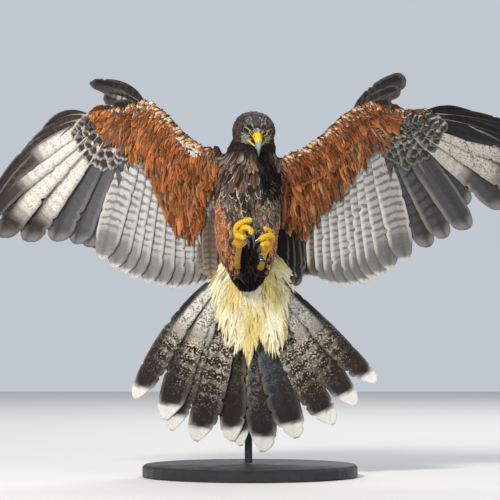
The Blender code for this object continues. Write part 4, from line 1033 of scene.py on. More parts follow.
def greater_coverts(coat, side, facing, grid, edge):
    """Long coverts over the roots of the primaries, then of the secondaries."""
    wing = WINGS[side]
    primary_roots = place_on(wing["primary_root"], 10)
    for tier in (0, 1) if side == "right" else (0, 1, 2, 3):
        count = 10 - 2 * min(1, tier)
        cover_tips = place_on(wing["primary_cover_tip"][::-1], count)
        for k in range(count):
            root = on_line(primary_roots, (count - 1 - k) / (count - 1))
            way = lie_at(side, root)
            tip = cover_tips[k] + rng.normal(0, 1.5, 2) - way * (13.0 * tier)
            if (tip - root) @ way < 16.0:
                root = tip - way * 22.0
            if facing > 0:
                tip = root + way * (62.0 - 16.0 * tier)
            if facing < 0:
                ground = varied((0.062, 0.046, 0.038) if side == "right" else (0.034, 0.036, 0.031), 0.2)
                tint = graded(ground, (0, 0.7), (0.3, 1), (1, 1.1))
                spotted = 0.85 if side == "right" else 0.45
                rim = (0.66, 0.62, 0.56, 0.75 if side == "right" else 0.22)
                outer = tone_line([(0, (0.5, spotted, 0, 3.2)), (0.85, (0.5, spotted, 0, 3.2)),
                                   (1, (0.2, 0, 0, 3.2))])
                inner = tone_line([(0, (0.5, 0.2 * spotted, 0.3, 3.2)), (1, (0.5, 0.2, 0.1, 3.2))])
                notes = (tint, rim, two_webs(outer, inner), (0.78, 0.74, 0.68, 0.36))
            else:
                notes = back_notes()
            covert(coat, side, facing, grid, root, tip, 20.0 - 2 * tier, notes,
                   (0.3 + 0.5 * tier, 1.3 + 0.8 * tier), 14, 9,
                   patch=seat(0.62 + 0.36 * (count - 1 - k) / count, 0.9 - 0.1 * tier, 0.006), fray=0.15)
    secondary_roots = place_on(wing["secondary_root"], 12)
    secondary_tips = np.array(wing["secondary_tip"], float)
    for k in range(24):
        share = k / 23
        root, tip = on_line(secondary_roots, share), on_line(secondary_tips, share)
        way = (tip - root) / np.linalg.norm(tip - root)
        if facing < 0:
            near = edge[np.argmin(((edge - (root + way * 40.0)) ** 2).sum(1))]
            along_way = (near - root) @ way
            tip = root + way * (along_way + rng.uniform(4.0, 12.0))
            ground = varied(GREY_COVER, 0.15)
            tint = graded(ground, (0, 0.5), (0.6, 1), (1, 0.9))
            notes = (tint, PALE + (0.6,), (0.35, 0.25, 0.3, 5), (0.10, 0.085, 0.075, 0.4))
        else:
            tip = root + (tip - root) * 0.44 * rng.uniform(0.96, 1.03)
            notes = back_notes()
        root = tip - way * 58.0
        covert(coat, side, facing, grid, root, tip, 15.0, notes, (-0.8, 1.2), 12, 7,
               patch=seat(0.05 + 0.55 * (1 - share), 0.85, 0.006), fray=0.2)


def overlaid(side, tip):
    """Whether the neck's or the hand's own feathers cover this place of the wing."""
    if side == "right":
        return tip[0] < 44.0 and tip[1] > 408.0
    return tip[0] > 197.0


def small_coverts(coat, side, facing, grid, edge, lead):
    """Rows from the chestnut fringe up to the scaly leading edge."""
    rows = 12
    shaded_layer = (0.105, 0.034, 0.012) if facing < 0 else (0.040, 0.024, 0.018)
    # a broad dark layer beneath keeps the quills from showing between the rows; its darkness is painted
    # shade in the gaps
    for share in (0.93, 0.80, 0.66, 0.52, 0.38, 0.25):
        tips = edge * share + lead * (1 - share)
        count = int(run_of(tips) / 9.0)
        for k in range(count):
            place = (k + rng.uniform(0.2, 0.8)) / count
            tip = on_line(tips, place)
            way = lie_at(side, tip)
            if overlaid(side, tip):
                continue
            covert(coat, side, facing, grid, tip - way * (14.0 + 20.0 * share), tip, 16.0,
                   (varied(shaded_layer, 0.2) + (1,), (0.2, 0.08, 0.03, 0.2), (0.3, 0.0, 0.0, 4), DARK_INK),
                   (0.2, 1.2), 8, 5,
                   patch=seat(place, share), fray=0.3)
    for r in range(rows):
        share = 1.0 - r / (rows - 1) * 0.88
        length = 11.0 + 40.0 * share ** 1.15
        width = 4.6 + 6.3 * share
        tips = edge * share + lead * (1 - share)
        count = int(run_of(tips) / (width * 0.56))
        for k in range(count):
            place = min(0.999, max(0.0, (k + rng.uniform(0.1, 0.9) + (0.5 if r % 2 else 0.0)) / count))
            tip = on_line(tips, place)
            out = on_line(lead, min(1.0, place + 0.01)) - on_line(lead, max(0.0, place - 0.01))
            out /= np.linalg.norm(out)
            fringe = max(0.0, (share - 0.8) / 0.2)
            way = lie_at(side, tip)
            toward = 0.40 * (1 - share)
            way = turned(way * (1 - toward) + out * toward, rng.normal(0, 0.10))
            way /= np.linalg.norm(way)
            tip = tip + way * rng.normal(0, 3.0 * share + 1.0)
            if overlaid(side, tip):
                continue
            long = length * rng.uniform(0.8, 1.12)
            room = (lead - tip) @ way
            off = np.linalg.norm(lead - tip - np.outer(room, way), axis=1)
            headway = -room[np.argmin(off)]
            if headway > 2.0:
                long = min(long, headway + 1.5)
            root = tip - way * long
            if facing < 0:
                # painted shade: the chestnut darkens between clumps of feathers and is darker overall on
                # the left wing, away from the key light
                clump_shade = math.sin(tip[0] * 0.21 + 1.7 * math.sin(tip[1] * 0.13))
                clump_shade = 0.5 + 0.5 * (clump_shade * math.sin(tip[1] * 0.17 + tip[0] * 0.05))
                painted_light_level = 0.62 + 0.60 * clump_shade if side == "right" else 0.24 + 0.64 * clump_shade
                ground = varied(shade_of((0.29, 0.087, 0.026), painted_light_level), 0.32)
                if rng.random() < (0.12 if side == "right" else 0.07):
                    ground = varied((0.42, 0.16, 0.055), 0.15)
                shoulder = side == "right" and tip[0] < 62.0 and tip[1] > 402.0
                if rng.random() < 0.10 + 0.12 * fringe or shoulder:
                    ground = varied((0.10, 0.062, 0.045), 0.25)
                rim = (0.58, 0.30, 0.13, rng.uniform(0.0, 0.75))
                streak = 0.35 if rng.random() < 0.55 else 1.0
                half = (root + tip) / 2
                if side == "right" and any(inside((-spot[0], spot[1]), WEB_PATCH) for spot in (tip, half)):
                    ground, rim, streak = varied((0.48, 0.50, 0.47), 0.10), (0.66, 0.67, 0.63, 0.5), 0.0
                    root = tip - way * long * 0.5
            else:
                ground = varied((0.25, 0.078, 0.030), 0.2) if share < 0.55 else varied(BROWN, 0.18)
                rim, streak = (0.30, 0.14, 0.07, 0.35), 0.25
            # each covert is painted dark at its root, as painted shade under the covert that overlaps it,
            # and lighter toward its tip
            tint = graded(ground, (0, 0.30), (0.5, 0.9), (1, 1.3))
            covert(coat, side, facing, grid, root, tip, width * rng.uniform(0.8, 1.2),
                   (tint, rim, (streak, 0.0, 0.0, 4), DARK_INK),
                   (0.6, 2.4 + 0.8 * share + rng.uniform(0, 1.0)), 8 if share > 0.4 else 6,
                   5 if share > 0.3 else 4,
                   bow=rng.normal(0, 0.04), patch=seat(place, share), roll=rng.normal(0.10, 0.16),
                   shape="lance", fray=0.3)


def edge_coverts(coat, side, facing, grid, lead):
    """Tiny scaly feathers in close rows along the leading edge."""
    rows, reach = 6, 15.0
    for r in range(rows):
        inset = 1.0 + reach * (1 - r / (rows - 1)) + 2.5
        line = lead[14 if r < 3 else 3:]
        count = int(run_of(line) / 2.6)
        for k in range(count):
            share = min(1.0, (k + rng.uniform(0.1, 0.9)) / count)
            spot = on_line(line, share)
            out = on_line(line, min(1.0, share + 0.02)) - on_line(line, max(0.0, share - 0.02))
            out /= np.linalg.norm(out)
            down = np.array([out[1], -out[0]])
            if down[1] > 0:
                down = -down
            way = out * 0.62 + down * 0.78
            way = turned(way / np.linalg.norm(way), rng.normal(0, 0.12))
            tip = spot + down * (inset + rng.normal(0, 0.7))
            long = rng.uniform(6.0, 8.5)
            root = tip - way * min(long, (inset + 2.0) / 0.78)
            if tip[0] < 46.0 or (side == "left" and tip[0] > 200.0):
                continue
            pale_share = np.interp(share, [0.0, 0.25, 0.45, 0.8, 1.0], [0.15, 0.35, 0.6, 0.85, 0.7])
            draw = ((k + r) % 2) * 0.5 + 0.5 * rng.random() * (0.9 if (k + r) % 2 else 1.0)
            if facing > 0:
                ground, rim = varied(BROWN, 0.2), (0.30, 0.16, 0.08, 0.5)
            elif draw < 0.45:
                ground, rim = varied((0.36, 0.12, 0.038), 0.25), (0.80, 0.62, 0.40, pale_share)
            elif draw < 0.80:
                ground, rim = varied((0.66, 0.52, 0.36), 0.15), (0.84, 0.74, 0.58, pale_share)
            else:
                ground, rim = varied((0.045, 0.030, 0.024), 0.25), (0.62, 0.45, 0.28, pale_share)
            # painted shade: darker at the root, under the feather that overlaps it
            tint = graded(ground, (0, 0.35), (0.55, 1), (1, 1))
            covert(coat, side, facing, grid, root, tip, rng.uniform(3.2, 4.6),
                   (tint, rim, (0.3, 0.0, 0.0, 3), DARK_INK),
                   (0.8 + 0.1 * r, 2.0 + 0.12 * r), 5, 4, patch=seat(share, 0.06),
                   roll=rng.normal(0.0, 0.15), fray=0.2)


for side in WINGS:
    lead = place_on(LEAD_LINE[side], 101)
    edge = place_on(CHESTNUT_TIPS[side], 101)
    for facing, label in ((-1, "under"), (1, "over")):
        grid = wing_relief(side, facing)
        coat = Coat()
        greater_coverts(coat, side, facing, grid, edge)
        greater = coat.build("greater_coverts_%s_%s" % (label, side), feather_look, "plumage_grey")
        coat = Coat()
        small_coverts(coat, side, facing, grid, edge, lead)
        small = coat.build("small_coverts_%s_%s" % (label, side), feather_look, "plumage_rufous")
        coat = Coat()
        edge_coverts(coat, side, facing, grid, lead)
        coat.build("edge_coverts_%s_%s" % (label, side), feather_look, "plumage_rufous")
        if facing < 0:
            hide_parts("forearm_" + side, "upper_arm_" + side)
            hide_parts("hand_" + side)

# Inner wing feathers beside the body.
# Loose dark blades hang from each armpit: dark brown on the left side, painted
# near black as shade, and grey brown with faint bars on the right.
FLANK_SETS = [
    # roots, tips, colour, bars, width
    # the left set's near black is painted shade over dark brown feathers
    ("left", [(36, 352), (40, 356), (44, 360), (48, 362), (40, 340)],
     [(39, 252), (49, 248), (60, 248), (65, 266), (31, 262)], (0.017, 0.017, 0.020), 0.0, 19.0),
    ("right", [(44, 385), (48, 380), (46, 372)], [(50, 258), (58, 262), (43, 268)], (0.15, 0.120, 0.100),
     0.7, 21.0),
]
coat = Coat()
for side, roots, tips, colour, bars, width in FLANK_SETS:
    sign = WINGS[side]["sign"]
    for k, (root, tip) in enumerate(zip(roots, tips)):
        ground = varied(colour, 0.12)
        quill(coat, (sign * root[0], 3.0 + 1.2 * k, root[1]), (sign * tip[0], 9.0 + 1.2 * k, tip[1]), width,
              -sign, 0.04, 0.0, 0.5,
              (9.0, 16.0), "flight", rows=30,
              tint=graded(ground, (0, 0.6), (0.7, 1), (0.93, 1.6), (1, 3.0)),
              rim=(0.34, 0.27, 0.21, 0.45), mark=(0.4, bars, 0.1, 16), ink=shade_of(ground, 0.5) + (0.45,),
              patch=atlas(),
              shaft=[(0, shade_of(ground, 1.5)), (1, shade_of(ground, 0.6))])
coat.build("flank_feathers", feather_look, "plumage_dark")

# Body feathers.
# Small contour feathers are sown over the skin, each laid along the coat's lie
# from the bill back over the head and down to the tail. They are smallest on
# the face and largest on the breast and back.
HEAD_CENTRE = np.array((5.0, -18.0, 448.0))
HEAD_YAW, HEAD_PITCH = math.radians(9.0), math.radians(20.0)
HEAD_FORWARD = np.array((math.sin(HEAD_YAW) * math.cos(HEAD_PITCH),
                         -math.cos(HEAD_YAW) * math.cos(HEAD_PITCH), -math.sin(HEAD_PITCH)))
HEAD_SIDE = np.array((math.cos(HEAD_YAW), math.sin(HEAD_YAW), 0.0))
HEAD_UP = np.cross(HEAD_FORWARD, HEAD_SIDE)
if HEAD_UP[2] < 0:
    HEAD_UP = -HEAD_UP


def head_point(f, r, u):
    """Place in mm from the head's own forward, sideways and upward measures."""
    return HEAD_CENTRE + HEAD_FORWARD * f + HEAD_SIDE * r + HEAD_UP * u


BILL_BASE = head_point(32.0, 0.0, -1.0)
THIGH_AXES = [np.array([centre for centre, _, _ in stations], float) for stations in THIGHS.values()]


def thigh_reach(point):
    """Distance in mm from the nearer thigh's axis."""
    reach = 1e9
    for axis in THIGH_AXES:
        x = np.interp(point[2], axis[::-1, 2], axis[::-1, 0])
        y = np.interp(point[2], axis[::-1, 2], axis[::-1, 1])
        reach = min(reach, math.hypot(point[0] - x, point[1] - y))
    return reach


def zone_of(point, normal):
    """Name of the plumage zone at a place of the skin, in mm."""
    if abs(point[0]) > 45.0 and point[2] > 362.0:
        return "arm"
    if np.linalg.norm(point - HEAD_CENTRE) < 40.0 and point[2] > 424.0:
        f = (point - HEAD_CENTRE) @ HEAD_FORWARD
        return "face" if f > 10.0 else "crown"
    if point[2] < 374.0 and thigh_reach(point) < 22.5 and point[1] < -12.0:
        return "thigh"
    if point[2] > 404.0:
        return "neck"
    if normal[1] > 0.15:
        return "rump" if point[2] < 296.0 else "back"
    return "belly" if point[2] < 318.0 else "breast"


# length, width, spacing, lift at the tip, rows along, columns across
PLUMES = {
    "face": (4.6, 2.2, 1.25, 0.9, 4, 3),
    "crown": (8.0, 3.6, 2.0, 1.3, 5, 3),
    "neck": (13.0, 4.6, 2.7, 1.9, 7, 4),
    "breast": (24.0, 8.0, 3.7, 3.2, 9, 5),
    "belly": (24.0, 8.0, 4.0, 3.2, 9, 5),
    "back": (26.0, 13.0, 5.4, 2.6, 9, 5),
    "rump": (26.0, 11.0, 5.0, 2.8, 9, 5),
    "thigh": (11.0, 4.2, 2.5, 2.0, 6, 4),
    "arm": (16.0, 7.0, 4.6, 1.6, 6, 4),
}


def lie_on(point, zone):
    """Way that the coat points at a place of the body, before it is laid flat."""
    if zone in ("face", "crown"):
        away = point - BILL_BASE
        away /= np.linalg.norm(away)
        return away + np.array((0, 0, -0.35))
    if zone == "neck":
        return np.array((0.006 * point[0] if point[0] > -10.0 else 0.05 * (point[0] + 6.0), 0.05, -1.0))
    if zone == "thigh":
        return np.array((0.0, 0.05, -1.0))
    if zone == "arm":
        return np.array((0.5 * np.sign(point[0]), 0.1, -0.8))
    return np.array((0.004 * point[0], 0.10 if zone in ("belly", "rump") else 0.0, -1.0))


def skin_path(root, zone, length, rows, lift, turn):
    """Points and normals of a feather's shaft laid over the skin, in mm."""
    point = np.array(root, float)
    found = skin_tree.find_nearest(Vector(point * MM))
    normal = np.array(found[1])
    spots, normals = [], []
    step = length / (rows - 1)
    for k in range(rows):
        spots.append(point + normal * (0.2 + (lift - 0.2) * (k / (rows - 1)) ** 0.8))
        normals.append(normal)
        way = lie_on(point, zone)
        way = way - normal * (way @ normal)
        size = np.linalg.norm(way)
        way = way / size if size > 1e-6 else np.array((0, 0, -1.0))
        way = way * math.cos(turn) + np.cross(normal, way) * math.sin(turn)
        ahead = point + way * step
        found = skin_tree.find_nearest(Vector(ahead * MM))
        fresh = np.array(found[1])
        off = ahead - np.array(found[0]) / MM
        if np.linalg.norm(off) < step * 0.9 and fresh @ normal > 0.2:
            point = np.array(found[0]) / MM
            normal = fresh * 0.6 + normal * 0.4
            normal /= np.linalg.norm(normal)
        else:
            point = ahead
    return np.array(spots), np.array(normals)


def plume(coat, spots, normals, width, notes, patch, wide, shape="cover", thick=(0.6, 0.25), camber=0.2,
          roll=0.0, fray=0.3):
    """One contour feather along a laid shaft, in mm."""
    rows = len(spots)
    t = np.linspace(0, 1, rows)
    slope = np.gradient(spots, axis=0)
    slope /= np.linalg.norm(slope, axis=1)[:, None] + 1e-9
    across = np.cross(slope, normals)
    across /= np.linalg.norm(across, axis=1)[:, None] + 1e-9
    across = across * math.cos(roll) + normals * math.sin(roll)
    normal = np.cross(across, slope)
    share = flow(*SHAPES[shape], t) * width / 2
    left = share * (1 + rng.normal(0, fray * 0.35, rows))
    right = share * (1 + rng.normal(0, fray * 0.35, rows))
    q = np.linspace(-1.0, 1.0, wide)
    coat.add(spots * MM, across, normal, left * MM, right * MM, np.interp(t, [0, 1], thick) * MM, camber,
             [note(t, q) if callable(note) else note for note in notes], patch, wide)


def sow():
    """Evenly scattered roots on the skin with their zones."""
    mesh = skin.data
    mesh.calc_loop_triangles()
    triangles = np.array([t.vertices for t in mesh.loop_triangles])
    corners = np.array([v.co for v in mesh.vertices])[triangles] / MM
    cross = np.cross(corners[:, 1] - corners[:, 0], corners[:, 2] - corners[:, 0])
    area = np.linalg.norm(cross, axis=1) / 2
    normals = cross / (2 * area[:, None] + 1e-12)
    total = area.sum()
    count = int(total * 1.2)
    pick = rng.choice(len(area), count, p=area / total)
    a, b = rng.random((2, count))
    flip = a + b > 1
    a[flip], b[flip] = 1 - a[flip], 1 - b[flip]
    first, second, third = corners[pick].transpose(1, 0, 2)
    spots = first + (second - first) * a[:, None] + (third - first) * b[:, None]
    kept, cells = [], {}
    for spot, normal in zip(spots, normals[pick]):
        zone = zone_of(spot, normal)
        gap = PLUMES[zone][2]
        cell = tuple((spot // 6.0).astype(int))
        crowded = any(((other - spot) ** 2).sum() < gap * gap
                      for dx, dy, dz in itertools.product((-1, 0, 1), repeat=3)
                      for other in cells.get((cell[0] + dx, cell[1] + dy, cell[2] + dz), ()))
        if not crowded:
            cells.setdefault(cell, []).append(spot)
            kept.append((spot, normal, zone))
    return kept


def body_place(point):
    """Place on the body's unwrap: round the body across, height up."""
    turn = math.atan2(point[0], -(point[1] + 4.0)) / (2 * math.pi)
    return (0.03 + 0.92 * (turn + 0.5), 0.03 + 0.92 * min(1.0, max(0.0, (point[2] - 235.0) / 250.0)), 0.003,
            0.003, 0.0035)


def shadow_side(point):
    """How far a place lies in the head's cast shadow, painted as a darker stripe of feathers from chin to
    belly.
    """
    middle = np.interp(point[2], [345, 360, 385, 405, 425, 435], [22, 22, 25, 21.5, 13, 9])
    wide = np.interp(point[2], [330, 345, 360, 385, 405, 425, 435], [1, 5, 8, 12, 14, 15, 15])
    return math.exp(-((point[0] - middle) / wide) ** 4) if point[1] < 4 else 0.0


def plumage(zone, spot, normal):
    """Ground colour, rim, streak and vane shape of a feather by its place on the body."""
    local = spot - HEAD_CENTRE
    f, r, u = local @ HEAD_FORWARD, local @ HEAD_SIDE, local @ HEAD_UP
    # dark is the painted shadow of the head on the neck and breast, scaling the ground colour down
    dark = 1.0 - 0.93 * shadow_side(spot)
    draw = rng.random()
    if zone in ("face", "crown"):
        ground = varied((0.062, 0.045, 0.038), 0.25)
        rim = (0.40, 0.30, 0.21, rng.uniform(0.4, 1.0) if draw < 0.42 else 0.05)
        if u > 14 and abs(r) < 13:
            ground, rim = varied((0.10, 0.085, 0.080), 0.15), (0.22, 0.19, 0.18, 0.4 if draw < 0.5 else 0.0)
        if f > 18 and 4 < abs(r) < 17 and -6.5 < u < 6:
            ground, rim = varied((0.26, 0.27, 0.235), 0.18), (0.5, 0.5, 0.44, 0.4)
        if f > 25 and u > 6 and abs(r) < 7 and draw < 0.30:
            ground, rim = varied((0.42, 0.40, 0.37), 0.15), (0.8, 0.8, 0.77, 0.4)
        if f > 12 and u > 13 and 4 < abs(r) < 11 and draw < 0.4:
            ground, rim = varied((0.30, 0.25, 0.21), 0.2), (0.6, 0.54, 0.46, 0.7)
        if u < -7.5:
            ground, rim = varied((0.026, 0.021, 0.020), 0.2), (0.2, 0.16, 0.13, 0.3 if draw < 0.2 else 0.0)
        return ground, rim, 0.45, "cover"
    if zone == "neck":
        # the neck is lighter on its front and on its right side, which faces the key light: streaky
        # plumage, with painted light on that side
        front_and_lit_side = spot[1] < -4.0 or spot[0] < -14.0
        ground = (0.20, 0.142, 0.108) if front_and_lit_side and draw < 0.68 else (0.050, 0.034, 0.027)
        ground = shade_of(varied(ground, 0.38), dark)
        # pale rims fade inside the painted shadow too
        edged = rng.uniform(0.3, 1.0) * dark if draw < 0.42 else 0.06
        return ground, (0.52, 0.40, 0.29, edged), 0.55, "cover"
    if zone == "breast":
        low = max(0.0, min(1.0, (392.0 - spot[2]) / 50.0))
        ground = varied((0.105, 0.070, 0.053), 0.34) if draw < 0.68 else varied((0.026, 0.018, 0.015), 0.2)
        rim = (0.86, 0.77, 0.58, rng.uniform(0.7, 1.0) if rng.random() < 0.20 + 0.50 * low else 0.10)
        # pale rims fade inside the painted shadow of the head
        if shadow_side(spot) > 0.5:
            rim = rim[:3] + (rim[3] * 0.2,)
        return shade_of(ground, dark), rim, 0.9, "lance"
    if zone == "belly":
        # near black: the belly's dark plumage, deepened by painted shade in the recess between the thighs
        ground = varied((0.0065, 0.0055, 0.005), 0.25)
        if spot[2] > 308 and draw < 0.2:
            ground = varied((0.035, 0.025, 0.020), 0.25)
        return ground, (0.16, 0.12, 0.09, rng.uniform(0.2, 0.7) if draw < 0.15 else 0.0), 0.4, "lance"
    if zone == "thigh":
        left = spot[0] > 0
        ground = varied((0.35, 0.122, 0.050), 0.26)
        rim = (0.84, 0.70, 0.52, rng.uniform(0.3, 1.0) if rng.random() < 0.75 else 0.1)
        low = max(0.0, min(1.0, (300.0 - spot[2]) / 28.0))
        if left:
            border = np.interp(spot[2], [270, 315, 340, 350], [22, 24, 33, 44])
            inward = spot[0] - border < rng.normal(0, 1.5)
        else:
            border = np.interp(spot[2], [275, 326, 356], [-13, -20, -38])
            inward = spot[0] - border > rng.normal(0, 1.5)
        if inward and spot[2] > 322.0:
            ground = varied((0.125, 0.085, 0.066), 0.35)
            rim = (0.80, 0.71, 0.54, rng.uniform(0.3, 1.0) if draw < 0.5 else 0.1)
        elif inward:
            # below the breast the inner sides are painted near black as shade between the thighs
            ground = varied((0.012, 0.0095, 0.009), 0.3)
            rim = (0.20, 0.14, 0.10, 0.4 if draw < 0.2 else 0.0)
        elif draw < 0.7 * low:
            ground, rim = varied((0.065, 0.040, 0.030), 0.3), (0.26, 0.18, 0.12, 0.3)
        return ground, rim, 0.25, "cover"
    if zone == "rump":
        return varied((0.07, 0.045, 0.034), 0.2), (0.3, 0.2, 0.12, 0.2), 0.3, "cover"
    if zone == "back":
        return varied((0.060, 0.038, 0.029), 0.2), (0.20, 0.13, 0.09, 0.4), 0.3, "cover"
    if abs(spot[0]) > 194.0:
        return varied((0.036, 0.037, 0.031), 0.3), (0.4, 0.38, 0.34, 0.4), 0.5, "cover"
    if spot[0] > -64.0 and spot[0] < 0 and spot[2] > 408.0:
        return varied((0.12, 0.082, 0.062), 0.3), (0.45, 0.34, 0.24, 0.4), 0.5, "cover"
    return varied((0.26, 0.08, 0.026), 0.25), (0.5, 0.3, 0.16, 0.2), 0.4, "cover"


body_coats = {name: Coat() for name in ("head", "neck", "trunk", "thighs", "arms", "vent")}
BELONGS = {"face": "head", "crown": "head", "neck": "neck", "breast": "trunk", "belly": "trunk",
           "back": "trunk",
           "rump": "trunk", "thigh": "thighs", "arm": "arms"}
EYE_SEATS = {"right": head_point(21.6, -11.0, 10.4), "left": head_point(20.9, 13.4, 7.9)}
EYE_LOOKS = {name: HEAD_FORWARD * 0.80 + HEAD_SIDE * side * 0.60
             for name, side in (("right", -1), ("left", 1))}
EYE_FRONTS = [EYE_SEATS[name] + EYE_LOOKS[name] * 6.8 for name in EYE_SEATS]
BARE_EYE = 6.3
# the skin is pressed in behind each eye so that the ball and its lids lie bare
spots = np.empty(len(skin.data.vertices) * 3)
skin.data.vertices.foreach_get("co", spots)
spots = spots.reshape(-1, 3)
for name, seat_point in EYE_SEATS.items():
    local = spots / MM - seat_point
    along = local @ EYE_LOOKS[name]
    off = np.linalg.norm(local - along[:, None] * EYE_LOOKS[name], axis=1)
    pressed = (along > 2.5) & (off < 6.2)
    spots[pressed] -= EYE_LOOKS[name] * (along[pressed] - 2.5)[:, None] * MM
skin.data.vertices.foreach_set("co", spots.ravel())
for spot, normal, zone in sow():
    length, width, gap, lift, rows, wide = PLUMES[zone]
    roll = rng.normal(0, 0.14)
    if zone == "face":
        f, r, u = [(spot - HEAD_CENTRE) @ way for way in (HEAD_FORWARD, HEAD_SIDE, HEAD_UP)]
        if f > (29.0 if u > 5.0 else 21.0) and abs(r) < 6.2 and -10.0 < u < 12.0:
            continue
    ground, rim, streak, shape = plumage(zone, spot, normal)
    if zone == "neck" and spot[0] < -12.0:
        length *= 1.5
    spots, normals = skin_path(spot, zone, length * rng.uniform(0.8, 1.15), rows,
                               lift * rng.uniform(0.7, 1.35), rng.normal(0, 0.14))
    if zone == "face" and min(np.linalg.norm(spots - eye, axis=1).min() for eye in EYE_FRONTS) < BARE_EYE:
        continue
    # each plume is painted dark at its root, as shade under the plumes that overlap it, less so on the
    # face, and lighter toward its tip
    painted_root_shade = 0.8 if zone == "face" else 0.28
    tint = graded(ground, (0, painted_root_shade), (0.5, 0.9), (1, 1.3))
    plume(body_coats[BELONGS[zone]], spots, normals, width * rng.uniform(0.8, 1.15),
          (tint, rim, (streak, 0, 0, 3), DARK_INK),
          body_place(spot), wide, shape, roll=roll)

# Vent, undertail and uppertail coverts.
# Long soft cream feathers hang over the tail's root in front, white ones lie
# over it behind. They are narrow, loose and frayed.
BIB = [(-58, 252), (-52, 266), (62, 266), (65, 243), (52, 230), (51, 191), (47, 171), (39, 152),
       (23, 149), (15, 168),
       (7, 168), (-1, 134), (-10, 160), (-24, 152), (-36, 175), (-46, 197)]
bib = []
while len(bib) < 930:
    tip = rng.uniform((-60.0, 134.0), (66.0, 268.0))
    if inside(tip, BIB):
        bib.append(tip)
for tip in sorted(bib, key=lambda spot: spot[1]):
    layer = (tip[1] - 134.0) / 134.0
    source = np.interp(tip[1], [134, 200, 235, 268], [400, 345, 308, 296]) + 12.0 * rng.random()
    way = tip - np.array((-1.0, source))
    way = turned(way / np.linalg.norm(way), rng.normal(0, 0.10))
    long = min(rng.uniform(34.0, 62.0), np.linalg.norm(tip - (-1.0, 296.0)))
    root = tip - way * long
    t = np.linspace(0, 1, 10)
    wave = rng.normal(0, 1.2) * np.sin(3.5 * t + rng.uniform(0, 6))
    x = root[0] + (tip[0] - root[0]) * t + wave * way[1]
    z = root[1] + (tip[1] - root[1]) * t - wave * way[0]
    swell = 0.55 + 0.45 * np.sin(np.pi * np.minimum(1, t * 1.15))
    y = 16.0 + (281.0 - z) * 0.068 - (2.2 + 9.0 * layer) * swell - 2.0 * rng.random() * t ** 2
    y = np.where(z > 281.0, 5.0, y)
    whiter = 0.5 + 0.9 * math.sin(tip[0] * 0.10 + 1.2) * math.cos(tip[1] * 0.055)
    whiter = float(np.clip(whiter + rng.normal(0, 0.16), 0, 1))
    ground = varied(tuple(a + (b - a) * whiter for a, b in zip((0.76, 0.59, 0.20), (0.88, 0.84, 0.62))),
                    0.07)
    if rng.random() < 0.08:
        ground = varied((0.42, 0.33, 0.12), 0.2)
    # painted shade: darker at the root, under the overlapping plumes
    tint = graded(ground, (0, 0.50), (0.6, 1), (1, 1.05))
    plume(body_coats["vent"], np.stack([x, y, z], 1), np.tile((0.0, -1.0, 0.0), (10, 1)),
          rng.uniform(2.2, 6.5),
          (tint, (0.92, 0.83, 0.50, 0.5), (0.0, 0, 0, 3), DARK_INK),
          body_place(np.array((x[0], y[0], z[0]))), 4, "lance",
          roll=rng.normal(0, 0.35), camber=0.3, fray=0.8)
# the white ones behind have two longer lobes beside a shorter middle
for k in range(160):
    share = rng.uniform(-1, 1)
    layer = rng.uniform(0, 1)
    turn = math.radians(-3.0 + share * 38.0)
    lobe = 0.80 + 0.20 * math.cos((abs(share) - 0.62) * 4.0)
    long = (40.0 + 40.0 * layer) * lobe * rng.uniform(0.85, 1.08)
    start = max(-8.0, long - rng.uniform(34.0, 60.0))
    t = np.linspace(0, 1, 10)
    r = start + (long - start) * t
    bend = turn + rng.normal(0, 0.10) * t + 0.04 * np.sin(4.0 * t + rng.uniform(0, 6))
    x = TAIL_ROOT[0] + 10.0 * share - r * np.sin(bend)
    z = TAIL_ROOT[2] - 10.0 - r * np.cos(bend)
    y = 24.0 + (3.0 + 4.0 * (1 - layer)) * (0.5 + 0.5 * np.sin(np.pi * np.minimum(1, t * 1.1))) + r * 0.06
    y -= 2.0 * rng.random() * t ** 2
    ground = varied((0.80, 0.78, 0.74), 0.10)
    # painted shade: a little darker at the root, under the overlapping plumes
    tint = graded(ground, (0, 0.75), (0.6, 1), (1, 1.05))
    plume(body_coats["vent"], np.stack([x, y, z], 1), np.tile((0.0, 1.0, 0.0), (10, 1)),
          rng.uniform(3.0, 7.5),
          (tint, (0.92, 0.86, 0.62, 0.5), (0.0, 0, 0, 3), DARK_INK),
          body_place(np.array((x[0], y[0], z[0]))), 4, "lance",
          roll=rng.normal(0, 0.35), camber=0.3, fray=0.8)
COAT_SLOTS = {"head": "plumage_dark", "neck": "plumage_dark", "trunk": "plumage_dark",
              "thighs": "plumage_rufous",
              "arms": "plumage_rufous", "vent": "plumage_tail"}
for name, slot in COAT_SLOTS.items():
    piece = body_coats[name].build(name + "_feathers", feather_look, slot)
    if name == "vent":
        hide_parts("tail")

